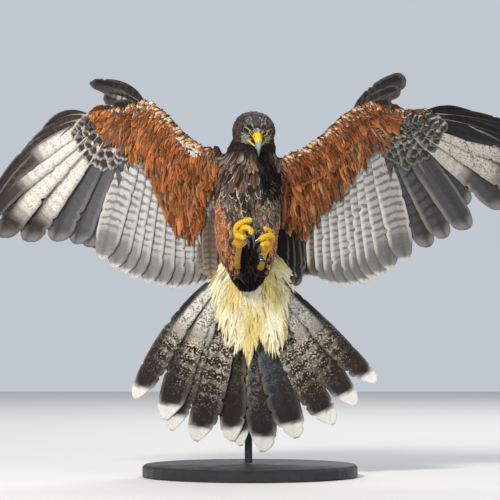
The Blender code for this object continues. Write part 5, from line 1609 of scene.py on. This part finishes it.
# Eyes, lids, brow, cere and bill.
# Glossy dark eyes lie under a heavy brow with thin yellow lids. The swollen
# yellow cere has slit nostrils and the hooked bill is blue-grey, darker at its
# tip, with an orange-yellow gape line running back on each side.
class Bare:
    """Closed forms of bare skin or horn gathered into one mesh with a colour at each point."""

    def __init__(self):
        self.points, self.faces, self.tints = [], [], []

    def stack(self, rings, tints):
        """Skins a stack of equal rings in mm; tints has one colour a ring or one a point."""
        rings = np.array(rings, float)
        n, count = rings.shape[:2]
        start = len(self.points)
        tints = np.array(tints, float)
        if tints.ndim == 1:
            tints = np.tile(tints, (n, count, 1))
        elif tints.ndim == 2:
            tints = np.repeat(tints[:, None], count, 1)
        self.points += [tuple(p) for p in rings.reshape(-1, 3) * MM]
        self.tints += [tuple(c) + (1.0,) for c in tints.reshape(-1, 3)]
        for i in range(n - 1):
            for j in range(count):
                a, b = start + i * count + j, start + i * count + (j + 1) % count
                self.faces.append((a, b, b + count, a + count))
        self.faces.append(tuple(range(start, start + count)))
        self.faces.append(tuple(range(start + (n - 1) * count, start + n * count)))

    def tube(self, path, radii, tints, sides, squash=1.0):
        """Tube along a path; squash flattens it towards the hawk's front."""
        path = np.array(path, float)
        slope = unit_rows(np.gradient(path, axis=0))
        side = unit_rows(np.cross(slope, (0.0, -1.0, 0.2)))
        top = np.cross(side, slope)
        turn = turns(sides)
        radii = np.broadcast_to(np.asarray(radii, float), (len(path),))
        out = side[:, None] * np.cos(turn)[None, :, None]
        out = out + top[:, None] * (squash * np.sin(turn))[None, :, None]
        self.stack(path[:, None] + radii[:, None, None] * out, tints)

    def build(self, name, look, slot, *replaced):
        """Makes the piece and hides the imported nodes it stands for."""
        obj = add_closed(name, self.points, self.faces)
        layer = obj.data.attributes.new("tint", "FLOAT_COLOR", "POINT")
        layer.data.foreach_set("color", np.array(self.tints).ravel())
        obj.data.polygons.foreach_set("use_smooth", np.ones(len(obj.data.polygons), bool))
        obj.data.materials.append(look)
        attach(obj, "root")
        if replaced:
            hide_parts(*replaced)
        return obj


def smooth_rows(rows, steps):
    """Catmull-Rom curve through rows of numbers."""
    rows = np.array(rows, float)
    ends = np.concatenate([[2 * rows[0] - rows[1]], rows, [2 * rows[-1] - rows[-2]]])
    out = []
    for i in range(len(rows) - 1):
        p0, p1, p2, p3 = ends[i:i + 4]
        for t in np.linspace(0, 1, steps, endpoint=False):
            out.append(0.5 * (2 * p1 + (p2 - p0) * t + (2 * p0 - 5 * p1 + 4 * p2 - p3) * t ** 2
                              + (3 * p1 - p0 - 3 * p2 + p3) * t ** 3))
    out.append(rows[-1])
    return np.array(out)


def mixed(one, other, share):
    """A colour between two."""
    return tuple(a + (b - a) * share for a, b in zip(one, other))


UPPER_BILL = [(24.0, 4.2, 6.6, 7.4, 6.6, 0.0), (29.5, 3.5, 6.0, 6.6, 6.3, 2.0),
              (34.5, 2.8, 5.3, 6.2, 6.0, 12.0),
              (39.3, 0.8, 4.5, 5.4, 5.4, 30.0), (43.4, -3.0, 3.6, 4.3, 4.6, 50.0),
              (45.8, -8.2, 2.5, 2.9, 3.4, 70.0),
              (46.6, -14.2, 1.4, 1.6, 2.0, 86.0), (46.4, -19.4, 0.35, 0.35, 0.4, 94.0)]
LOWER_BILL = [(24.0, -8.0, 5.0, 3.0, 3.6), (31.0, -8.4, 4.5, 2.8, 3.4), (37.0, -9.2, 3.5, 2.4, 2.8),
              (41.5, -10.0, 2.1, 1.9, 2.1), (43.6, -10.2, 0.9, 0.9, 0.9)]
bill_line = smooth_rows(UPPER_BILL, 8)


def bill_surface(s, angle, grow=0.0):
    """Place on the upper bill: s counts its stations, angle 90 degrees is the ridge."""
    s = float(np.clip(s * 8, 0, len(bill_line) - 1.001))
    k = int(s)
    f, u, half, top, low, lean = bill_line[k] * (1 - s + k) + bill_line[k + 1] * (s - k)
    lean = math.radians(lean)
    height = math.sin(angle)
    keel = 1.0 - 0.14 * max(0.0, height) ** 2
    height = height * (top + grow) if height > 0 else height * (low + grow)
    return head_point(f + height * math.sin(lean), (half + grow) * math.cos(angle) * keel,
                      u + height * math.cos(lean))


horn_look, tree, shader = material("horn_gloss", 0.22, 0.5)
shader.inputs["Coat Weight"].default_value = 0.35
shader.inputs["Coat Roughness"].default_value = 0.12
tone = blend(tree, ramp(tree, noise(tree, 420.0, 4.0), 0.35, 0.65, 0.0, 0.25), attribute(tree, "tint"),
             (0.02, 0.025, 0.03))
tree.links.new(tone, shader.inputs["Base Color"])
bump(tree, shader, noise(tree, 900.0, 3.0), 0.10, 0.0002)
cere_look, tree, shader = material("cere_skin", 0.38, 0.45)
shader.inputs["Subsurface Weight"].default_value = 0.08
shader.inputs["Subsurface Radius"].default_value = (0.002, 0.001, 0.0005)
tone = blend(tree, ramp(tree, noise(tree, 600.0, 3.0), 0.45, 0.70, 0.0, 0.35), attribute(tree, "tint"),
             (0.70, 0.30, 0.015))
tree.links.new(tone, shader.inputs["Base Color"])
bump(tree, shader, noise(tree, 1100.0, 3.0), 0.25, 0.0003)

ANGLES = turns(28)
BILL_BLUE, BILL_DARK = (0.32, 0.40, 0.46), (0.030, 0.034, 0.038)
upper, tints = [], []
for s in np.linspace(1.9, 6.98, 40):
    upper.append([bill_surface(s, a) for a in ANGLES])
    share = np.clip((s - 4.2) / 2.4, 0, 1)
    tints.append([mixed(mixed(BILL_BLUE, BILL_DARK, share), BILL_DARK, 0.55 * max(0.0, -math.sin(a)))
                  for a in ANGLES])
bill = Bare()
bill.stack(upper, tints)
bill.build("bill_upper_horn", horn_look, "horn_grey", "bill_upper")

lower = Bare()
rings, tints = [], []
lower_line = smooth_rows(LOWER_BILL, 6)
for k, (f, u, half, top, low) in enumerate(lower_line):
    rings.append([head_point(f, half * math.cos(a), u + math.sin(a) * (top if math.sin(a) > 0 else low))
                  for a in ANGLES])
    share = k / (len(lower_line) - 1)
    tints.append(mixed((0.42, 0.30, 0.05), mixed(BILL_BLUE, BILL_DARK, 0.45), min(1.0, share * 2.2)))
lower.stack(rings, tints)
lower.build("bill_lower_horn", horn_look, "horn_grey", "bill_lower")

cere = Bare()
rings, tints = [], []
CERE_YELLOW, CERE_ORANGE = (0.86, 0.56, 0.010), (0.78, 0.30, 0.010)
for j, t in enumerate(np.linspace(0, 1, 22)):
    ring, colours = [], []
    for a in ANGLES:
        height = math.sin(a)
        start = 0.4 * max(0.0, height)
        end = 3.62 + 0.25 * (1 - max(0.0, height)) - 1.6 * max(0.0, -height)
        grow = 0.45 * math.sin(math.pi * min(1.0, 0.25 + t * 0.75)) ** 0.6 + 0.08
        grow = grow - 0.5 * max(0.0, t - 0.93) / 0.07 - 1.2 * (1 - t) ** 3
        ring.append(bill_surface(start + t * (end - start), a, grow))
        colours.append(mixed(CERE_YELLOW, CERE_ORANGE, 0.55 * max(0.0, 1 - abs(height) * 1.8) * t))
    rings.append(ring)
    tints.append(colours)
cere.stack(rings, tints)
for side in (-1, 1):
    angle = math.radians(90 + side * -62)
    centre = np.array(bill_surface(2.15, angle, 0.55))
    fore = np.array(bill_surface(2.5, angle + side * 0.05, 0.55)) - centre
    fore /= np.linalg.norm(fore)
    out = centre - np.array(bill_surface(2.15, angle, -1.0))
    out /= np.linalg.norm(out)
    across = np.cross(fore, out)
    for scale, rise, colour in ((1.0, 0.10, (0.62, 0.22, 0.01)), (0.62, 0.32, (0.045, 0.016, 0.008))):
        rings = []
        for lat in np.linspace(-1.45, 1.45, 7):
            rings.append([centre + out * (math.sin(lat) * 0.35 + rise) + math.cos(lat) * scale
                          * (fore * 1.9 * math.cos(a) + across * 1.15 * math.sin(a)) for a in ANGLES[::2]])
        cere.stack(rings, colour)
cere.build("cere_skin", cere_look, "bare_yellow", "cere")

GAPE_LINE = [(17.5, 16.6, 0.2), (22.5, 13.8, -1.6), (28.0, 10.2, -3.4), (34.0, 6.6, -5.4),
             (38.0, 4.2, -7.0)]
gape = Bare()
for side in (-1, 1):
    line = smooth_rows([head_point(f, side * r, u) for f, r, u in GAPE_LINE], 5)
    share = np.linspace(0, 1, len(line))
    tints = [mixed((0.80, 0.25, 0.012), (0.84, 0.50, 0.015), min(1.0, s * 1.6)) for s in share]
    gape.tube(line, 0.4 + 0.75 * np.sin(np.pi * np.clip(share * 0.9 + 0.12, 0, 1)) ** 0.5, tints, 12, 0.8)
gape.build("gape_line", cere_look, "bare_yellow")

# short pale and brown feathers stand over the cere's rear edge
bristles = Coat()
for k in range(40):
    angle = math.radians(90.0 + rng.uniform(-68.0, 68.0))
    root = np.array(bill_surface(rng.uniform(0.5, 1.35), angle, 0.35))
    out = HEAD_UP * math.sin(angle) + HEAD_SIDE * math.cos(angle)
    way = -HEAD_FORWARD * 0.85 + HEAD_UP * 0.35 + HEAD_SIDE * (math.cos(angle) * 0.9 + rng.normal(0, 0.15))
    way /= np.linalg.norm(way)
    t = np.linspace(0, 1, 5)[:, None]
    line = root + way * t * rng.uniform(4.5, 7.5) + out * 0.9 * t ** 2
    ground = varied((0.52, 0.50, 0.46), 0.2) if rng.random() < 0.5 else varied((0.13, 0.10, 0.08), 0.2)
    plume(bristles, line, np.tile(out, (5, 1)), rng.uniform(0.9, 1.6),
          (ground + (1,), (0.8, 0.8, 0.78, 0.4), (0.0, 0, 0, 3), DARK_INK),
          body_place(root), 3, "lance", thick=(0.3, 0.15), roll=rng.normal(0, 0.2))
bristles.build("forehead_bristles", feather_look, "plumage_dark")

# Each eye is a glossy ball set a little inside the skull; the visible opening
# between the lids slants down to the bill.
EYE_SIZE = 6.6
# half width of the opening, and its height above and below the middle
OPENING_WIDE, OPENING_TALL = 5.7, (3.1, 4.0)
eye_look, tree, shader = material("eye_gloss", 0.06, 0.3)
shader.inputs["Coat Weight"].default_value = 0.35
shader.inputs["Coat Roughness"].default_value = 0.02
tree.links.new(attribute(tree, "tint"), shader.inputs["Base Color"])
lid_look, tree, shader = material("lid_skin", 0.45, 0.4)
tree.links.new(attribute(tree, "tint"), shader.inputs["Base Color"])
bump(tree, shader, noise(tree, 1400.0, 3.0), 0.3, 0.0003)
IRIS, PUPIL, EYE_RIM = (0.040, 0.016, 0.006), (0.0015, 0.0012, 0.001), (0.006, 0.004, 0.003)
LID_YELLOW, LID_SKIN, LID_SHADE = (0.47, 0.37, 0.045), (0.15, 0.15, 0.11), (0.03, 0.03, 0.03)
# rings of a lid from the opening out: widening and height in mm, share of yellow, skin colour; the outer
# rings darken to painted shade where the lid sinks under the feathers
LID_ROWS = [(-0.10, 6.75, 1.0, LID_SKIN), (-0.15, 7.05, 1.0, LID_SKIN), (0.10, 7.22, 1.0, LID_SKIN),
            (0.42, 7.22, 0.8, LID_SKIN), (0.75, 7.02, 0.25, LID_SKIN),
            (1.6, 6.85, 0.0, (0.10, 0.098, 0.075)),
            (2.6, 6.5, 0.0, (0.05, 0.045, 0.04)), (3.2, 5.6, 0.0, LID_SHADE), (0.5, 4.8, 0.0, LID_SHADE)]
BROW_BROWN, BROW_YELLOW = (0.055, 0.042, 0.034), (0.62, 0.50, 0.045)
lids = Bare()
for name, side in (("right", -1), ("left", 1)):
    seat_point = EYE_SEATS[name]
    look = EYE_LOOKS[name]
    # the opening's long axis runs back and up from its corner by the bill
    fore = HEAD_FORWARD * 0.60 - HEAD_SIDE * side * 0.80
    fore = fore * math.cos(0.42) - HEAD_UP * math.sin(0.42)
    fore -= look * (fore @ look)
    fore /= np.linalg.norm(fore)
    rise = np.cross(fore, look)
    if rise @ HEAD_UP < 0:
        rise = -rise
    ball = Bare()
    rings, tints = [], []
    for lat in np.linspace(0.02, math.pi - 0.02, 30):
        bulge = EYE_SIZE + 0.45 * math.exp(-(lat / 0.75) ** 4)
        rings.append([seat_point + look * math.cos(lat) * bulge
                      + math.sin(lat) * bulge * (fore * math.cos(a) + rise * math.sin(a)) for a in ANGLES])
        edge = np.clip((lat - 0.42) / 0.05, 0, 1)
        rim_dark = np.clip((lat - 0.80) / 0.10, 0, 1)
        tints.append(mixed(mixed(PUPIL, IRIS, edge), EYE_RIM, rim_dark))
    ball.stack(rings, tints)
    ball.build("eye_ball_" + name, eye_look, "eye_brown", "eye_" + name)
    rings, tints = [], []
    for widen, height, yellow, skin_tone in LID_ROWS:
        ring, colours = [], []
        for a in turns(40):
            upper_side = float(np.clip(0.5 + 1.6 * math.sin(a) + 0.7 * math.cos(a), 0, 1))
            colours.append(mixed(skin_tone, LID_YELLOW, upper_side * yellow))
            pinch = 1.0 - 0.14 * abs(math.cos(a)) ** 6
            x, y = OPENING_WIDE * math.cos(a) * pinch, OPENING_TALL[math.sin(a) <= 0] * math.sin(a)
            out = math.hypot(x, y)
            reach = out + widen
            x, y = x / out * reach, y / out * reach
            angle = min(1.45, math.hypot(x, y) / EYE_SIZE)
            way = (fore * x + rise * y) / math.hypot(x, y)
            ring.append(seat_point + look * math.cos(angle) * height + way * math.sin(angle) * height)
        rings.append(ring)
        tints.append(colours)
    lids.stack(rings, tints)
    # a thin yellow fold leads from the front corner to the cere
    corner = seat_point + look * 5.0 + fore * 6.0
    middle = (corner + head_point(27.5, side * 6.2, 3.0)) / 2 + HEAD_FORWARD * 1.0
    fold = smooth_rows([corner + rise * 1.2 - fore * 2.0, corner, middle,
                        head_point(28.5, side * 5.8, 2.0)], 6)
    lids.tube(fold, np.linspace(0.40, 0.65, len(fold)), [LID_YELLOW] * len(fold), 10)
    # heavy bony brow with a yellow lower edge
    high = 1.9 if side < 0 else -0.3
    brow = [(30.5, 5.0, 6.2 + high * 0.5), (27.6, 8.6, 9.6 + high), (24.2, 13.2, 12.6 + high),
            (18.6, 18.0, 14.6 + high), (12.0, 21.2, 14.0 + high), (6.0, 23.2, 12.0)]
    line = smooth_rows([head_point(f, side * r, u) for f, r, u in brow], 6)
    share = np.linspace(0, 1, len(line))
    radius = 0.4 + 1.0 * np.sin(np.pi * np.clip(share * 0.86 + 0.10, 0, 1)) ** 0.7
    turn = turns(14)
    slope = unit_rows(np.gradient(line, axis=0))
    out = unit_rows(np.cross(slope, HEAD_UP))
    top = np.cross(out, slope)
    top *= np.sign(top @ HEAD_UP)[:, None]
    oval = 1.25 * out[:, None] * np.cos(turn)[None, :, None]
    oval = oval + 0.8 * top[:, None] * np.sin(turn)[None, :, None]
    rings = line[:, None] + radius[:, None, None] * oval
    low_edge = np.clip(1.25 - share * 1.3, 0, 1)[:, None] * np.clip(0.55 - 1.6 * np.sin(turn), 0, 1)
    tints = [[mixed(BROW_BROWN, BROW_YELLOW, yellow) for yellow in row] for row in low_edge]
    lids.stack(rings, tints)
lids.build("eyelids", lid_look, "bare_yellow")

# Shanks, toes and claws.
# The drawn-up feet are clenched: bright yellow scaled toes with orange soles
# and long black claws with a painted blue reflection of the sky at their bases.
LEGS = {
    "right": {
        "hock": (-17.5, -31, 270), "ankle": (-13.5, -97, 300), "pad": ((-11, -97, 307), 8.6),
        "toes": [[(-13, -96, 308), (-18, -100, 322), (-8, -106, 331), (4, -107, 333)],
                 [(-11, -98, 309), (-9, -106, 322), (-1, -113, 322), (3.6, -114, 314)],
                 [(-12, -99, 308), (-17, -109, 313), (-12, -116, 312), (-5, -118, 309)],
                 [(-10, -96, 305), (-17, -92, 304), (-22, -93, 308)]],
        "claws": [[(3.5, -107, 333), (9.5, -108.5, 329), (11.5, -107, 320), (9.5, -103, 313)],
                  [(3.6, -114, 315), (5.2, -114, 306), (4, -109, 298)],
                  [(-5.5, -118, 309.5), (-1.5, -118.5, 303), (-2, -114, 295)],
                  [(-21.5, -93, 308), (-25.5, -96, 306), (-25, -102, 300), (-20, -107, 296)]],
    },
    "left": {
        "hock": (13.5, -31, 268), "ankle": (19, -96, 294), "pad": ((21, -96, 299), 8.2),
        "toes": [[(22, -97, 302), (25, -102, 315), (22, -107, 321), (16.5, -109, 320.5)],
                 [(22, -98, 302), (29, -107, 311), (22, -115, 313), (10, -117, 307)],
                 [(21, -100, 299), (23, -110, 303), (19, -116, 303), (13.5, -118, 299.5)],
                 [(20, -95, 296), (17, -96, 288), (13.5, -100, 287)]],
        "claws": [[(17, -109, 320.7), (11, -110.5, 318), (8.5, -108.5, 310)],
                  [(10.5, -117, 307.3), (5.5, -117, 303), (4.2, -112, 295)],
                  [(14, -118, 299.8), (10.5, -117.5, 294), (12, -113, 288.5)],
                  [(14, -99.6, 287.2), (15, -104, 282), (23, -106, 279.5), (30.5, -105, 288)]],
    },
}
TOE_YELLOW, TOE_ORANGE, TOE_OLIVE = (0.88, 0.58, 0.012), (0.80, 0.26, 0.012), (0.38, 0.27, 0.015)
scale_look, tree, shader = material("foot_scales", 0.34, 0.5)
cells = tree.nodes.new("ShaderNodeTexVoronoi")
cells.feature = "DISTANCE_TO_EDGE"
cells.inputs["Scale"].default_value = 430.0
tree.links.new(tree.nodes.new("ShaderNodeTexCoord").outputs["Object"], cells.inputs["Vector"])
# the creases between scales are painted dark orange: partly the skin's own colour, partly painted shade in
# the grooves
crease_shade = ramp(tree, cells.outputs["Distance"], 0.0, 0.12, 0.85, 0.0)
tone = blend(tree, crease_shade, attribute(tree, "tint"), (0.42, 0.14, 0.006))
tone = blend(tree, ramp(tree, noise(tree, 160.0), 0.35, 0.7, 0.0, 0.25), tone, (0.70, 0.38, 0.010))
tree.links.new(tone, shader.inputs["Base Color"])
bump(tree, shader, ramp(tree, cells.outputs["Distance"], 0.0, 0.16), 0.8, 0.0006)
claw_look, tree, shader = material("claw_gloss", 0.13, 0.6)
shader.inputs["Coat Weight"].default_value = 0.5
shader.inputs["Coat Roughness"].default_value = 0.06
tree.links.new(attribute(tree, "tint"), shader.inputs["Base Color"])
bump(tree, shader, noise(tree, 700.0, 3.0), 0.08, 0.0002)


def scaled_tube(bare, path, radii, pads, scutes, tints=(TOE_YELLOW, TOE_ORANGE), inward=(0.0, 0.4, -0.6)):
    """Toe or shank: broad scutes along its back, soft pads under its joints."""
    path = np.array(path, float)
    n = len(path)
    slope = unit_rows(np.gradient(path, axis=0))
    low = unit_rows(np.array(inward, float) - slope * (slope @ np.array(inward, float))[:, None])
    side = np.cross(slope, low)
    turn = turns(18)
    t = np.linspace(0, 1, n)
    rings, colours = [], []
    for i in range(n):
        ring, line = [], []
        for a in turn:
            under = max(0.0, math.cos(a))
            back = max(0.0, -math.cos(a))
            step = (t[i] * scutes) % 1.0
            swell = 0.16 * under * math.sin(math.pi * t[i] * pads) ** 2 + 0.07 * back * (1 - step) ** 0.5
            r = radii[i] * (1 + swell - 0.03)
            ring.append(path[i] + (low[i] * math.cos(a) + side[i] * math.sin(a)) * r)
            orange = 0.85 * under ** 1.5 + (0.25 * back if step > 0.86 else 0.0)
            line.append(mixed(tints[0], tints[1], min(1.0, orange)))
        rings.append(ring)
        colours.append(line)
    bare.stack(rings, colours)


for side, leg in LEGS.items():
    shank = Bare()
    hock, ankle = np.array(leg["hock"], float), np.array(leg["ankle"], float)
    line = smooth_rows([hock + (0, 14, 2), hock + (0, 4, 4), hock * 0.7 + ankle * 0.3,
                        hock * 0.25 + ankle * 0.75, ankle + (0, -2, 1.5)], 12)
    radii = np.interp(np.linspace(0, 1, len(line)), [0, 0.25, 0.5, 0.75, 1], [4.6, 4.9, 3.7, 3.7, 4.6])
    scaled_tube(shank, line, radii, 1.0, 16.0, tints=(mixed(TOE_YELLOW, TOE_OLIVE, 0.45), TOE_OLIVE),
                inward=(0.0, -0.2, -1.0))
    shank.build("shank_" + side, scale_look, "bare_yellow", "tarsus_" + side)
    foot = Bare()
    centre, size = leg["pad"][0], leg["pad"][1] * 0.94
    rings = []
    for lat in np.linspace(-1.5, 1.5, 14):
        flat, shaded_layer = math.cos(lat), 0.88 * math.sin(lat)
        rings.append([np.array(centre) + size * np.array((flat * math.cos(a), shaded_layer, flat * math.sin(a)))
                      for a in ANGLES])
    foot.stack(rings, mixed(TOE_YELLOW, TOE_ORANGE, 0.45))
    for path in leg["toes"]:
        line = smooth_rows(path, 10)
        t = np.linspace(0, 1, len(line))
        radii = 3.9 * (1.0 - 0.20 * t + 0.16 * np.sin(t * math.pi * 3.0) ** 2)
        radii[-4:] *= (0.97, 0.90, 0.74, 0.45)
        scaled_tube(foot, line, radii, 3.0, len(path) * 3.0)
    foot.build("toes_" + side, scale_look, "bare_yellow", "foot_" + side)
    claws = Bare()
    for i, path in enumerate(leg["claws"]):
        line = smooth_rows(path, 9)
        t = np.linspace(0, 1, len(line))
        radii = np.maximum(0.12, 2.75 * (1.15 if i == 3 else 1.0) * (1.0 - t ** 1.25))
        # the blue-grey at the base is a painted reflection of the sky, fading to black at the tip
        tints = [mixed((0.050, 0.072, 0.092), (0.006, 0.007, 0.009), min(1.0, s * 1.5)) for s in t]
        claws.tube(line, radii, tints, 14, 0.86)
    claws.build("claws_" + side, claw_look, "horn_dark", *["talon_%s_%d" % (side, k) for k in (1, 2, 3, 4)])

# Stand: satin black base disc and bent rod.
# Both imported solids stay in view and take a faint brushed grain.
stand_look, tree, shader = material("stand_satin", 0.42, 0.4)
tone = blend(tree, noise(tree, 90.0, 4.0), (0.014, 0.014, 0.016), (0.028, 0.028, 0.031))
tree.links.new(tone, shader.inputs["Base Color"])
tree.links.new(ramp(tree, noise(tree, 40.0, 3.0), 0.3, 0.7, 0.36, 0.50), shader.inputs["Roughness"])
bump(tree, shader, noise(tree, 1500.0, 2.0), 0.06, 0.0002)
for name in ("stand_base", "stand_rod"):
    nodes[name].data.materials.clear()
    nodes[name].data.materials.append(stand_look)
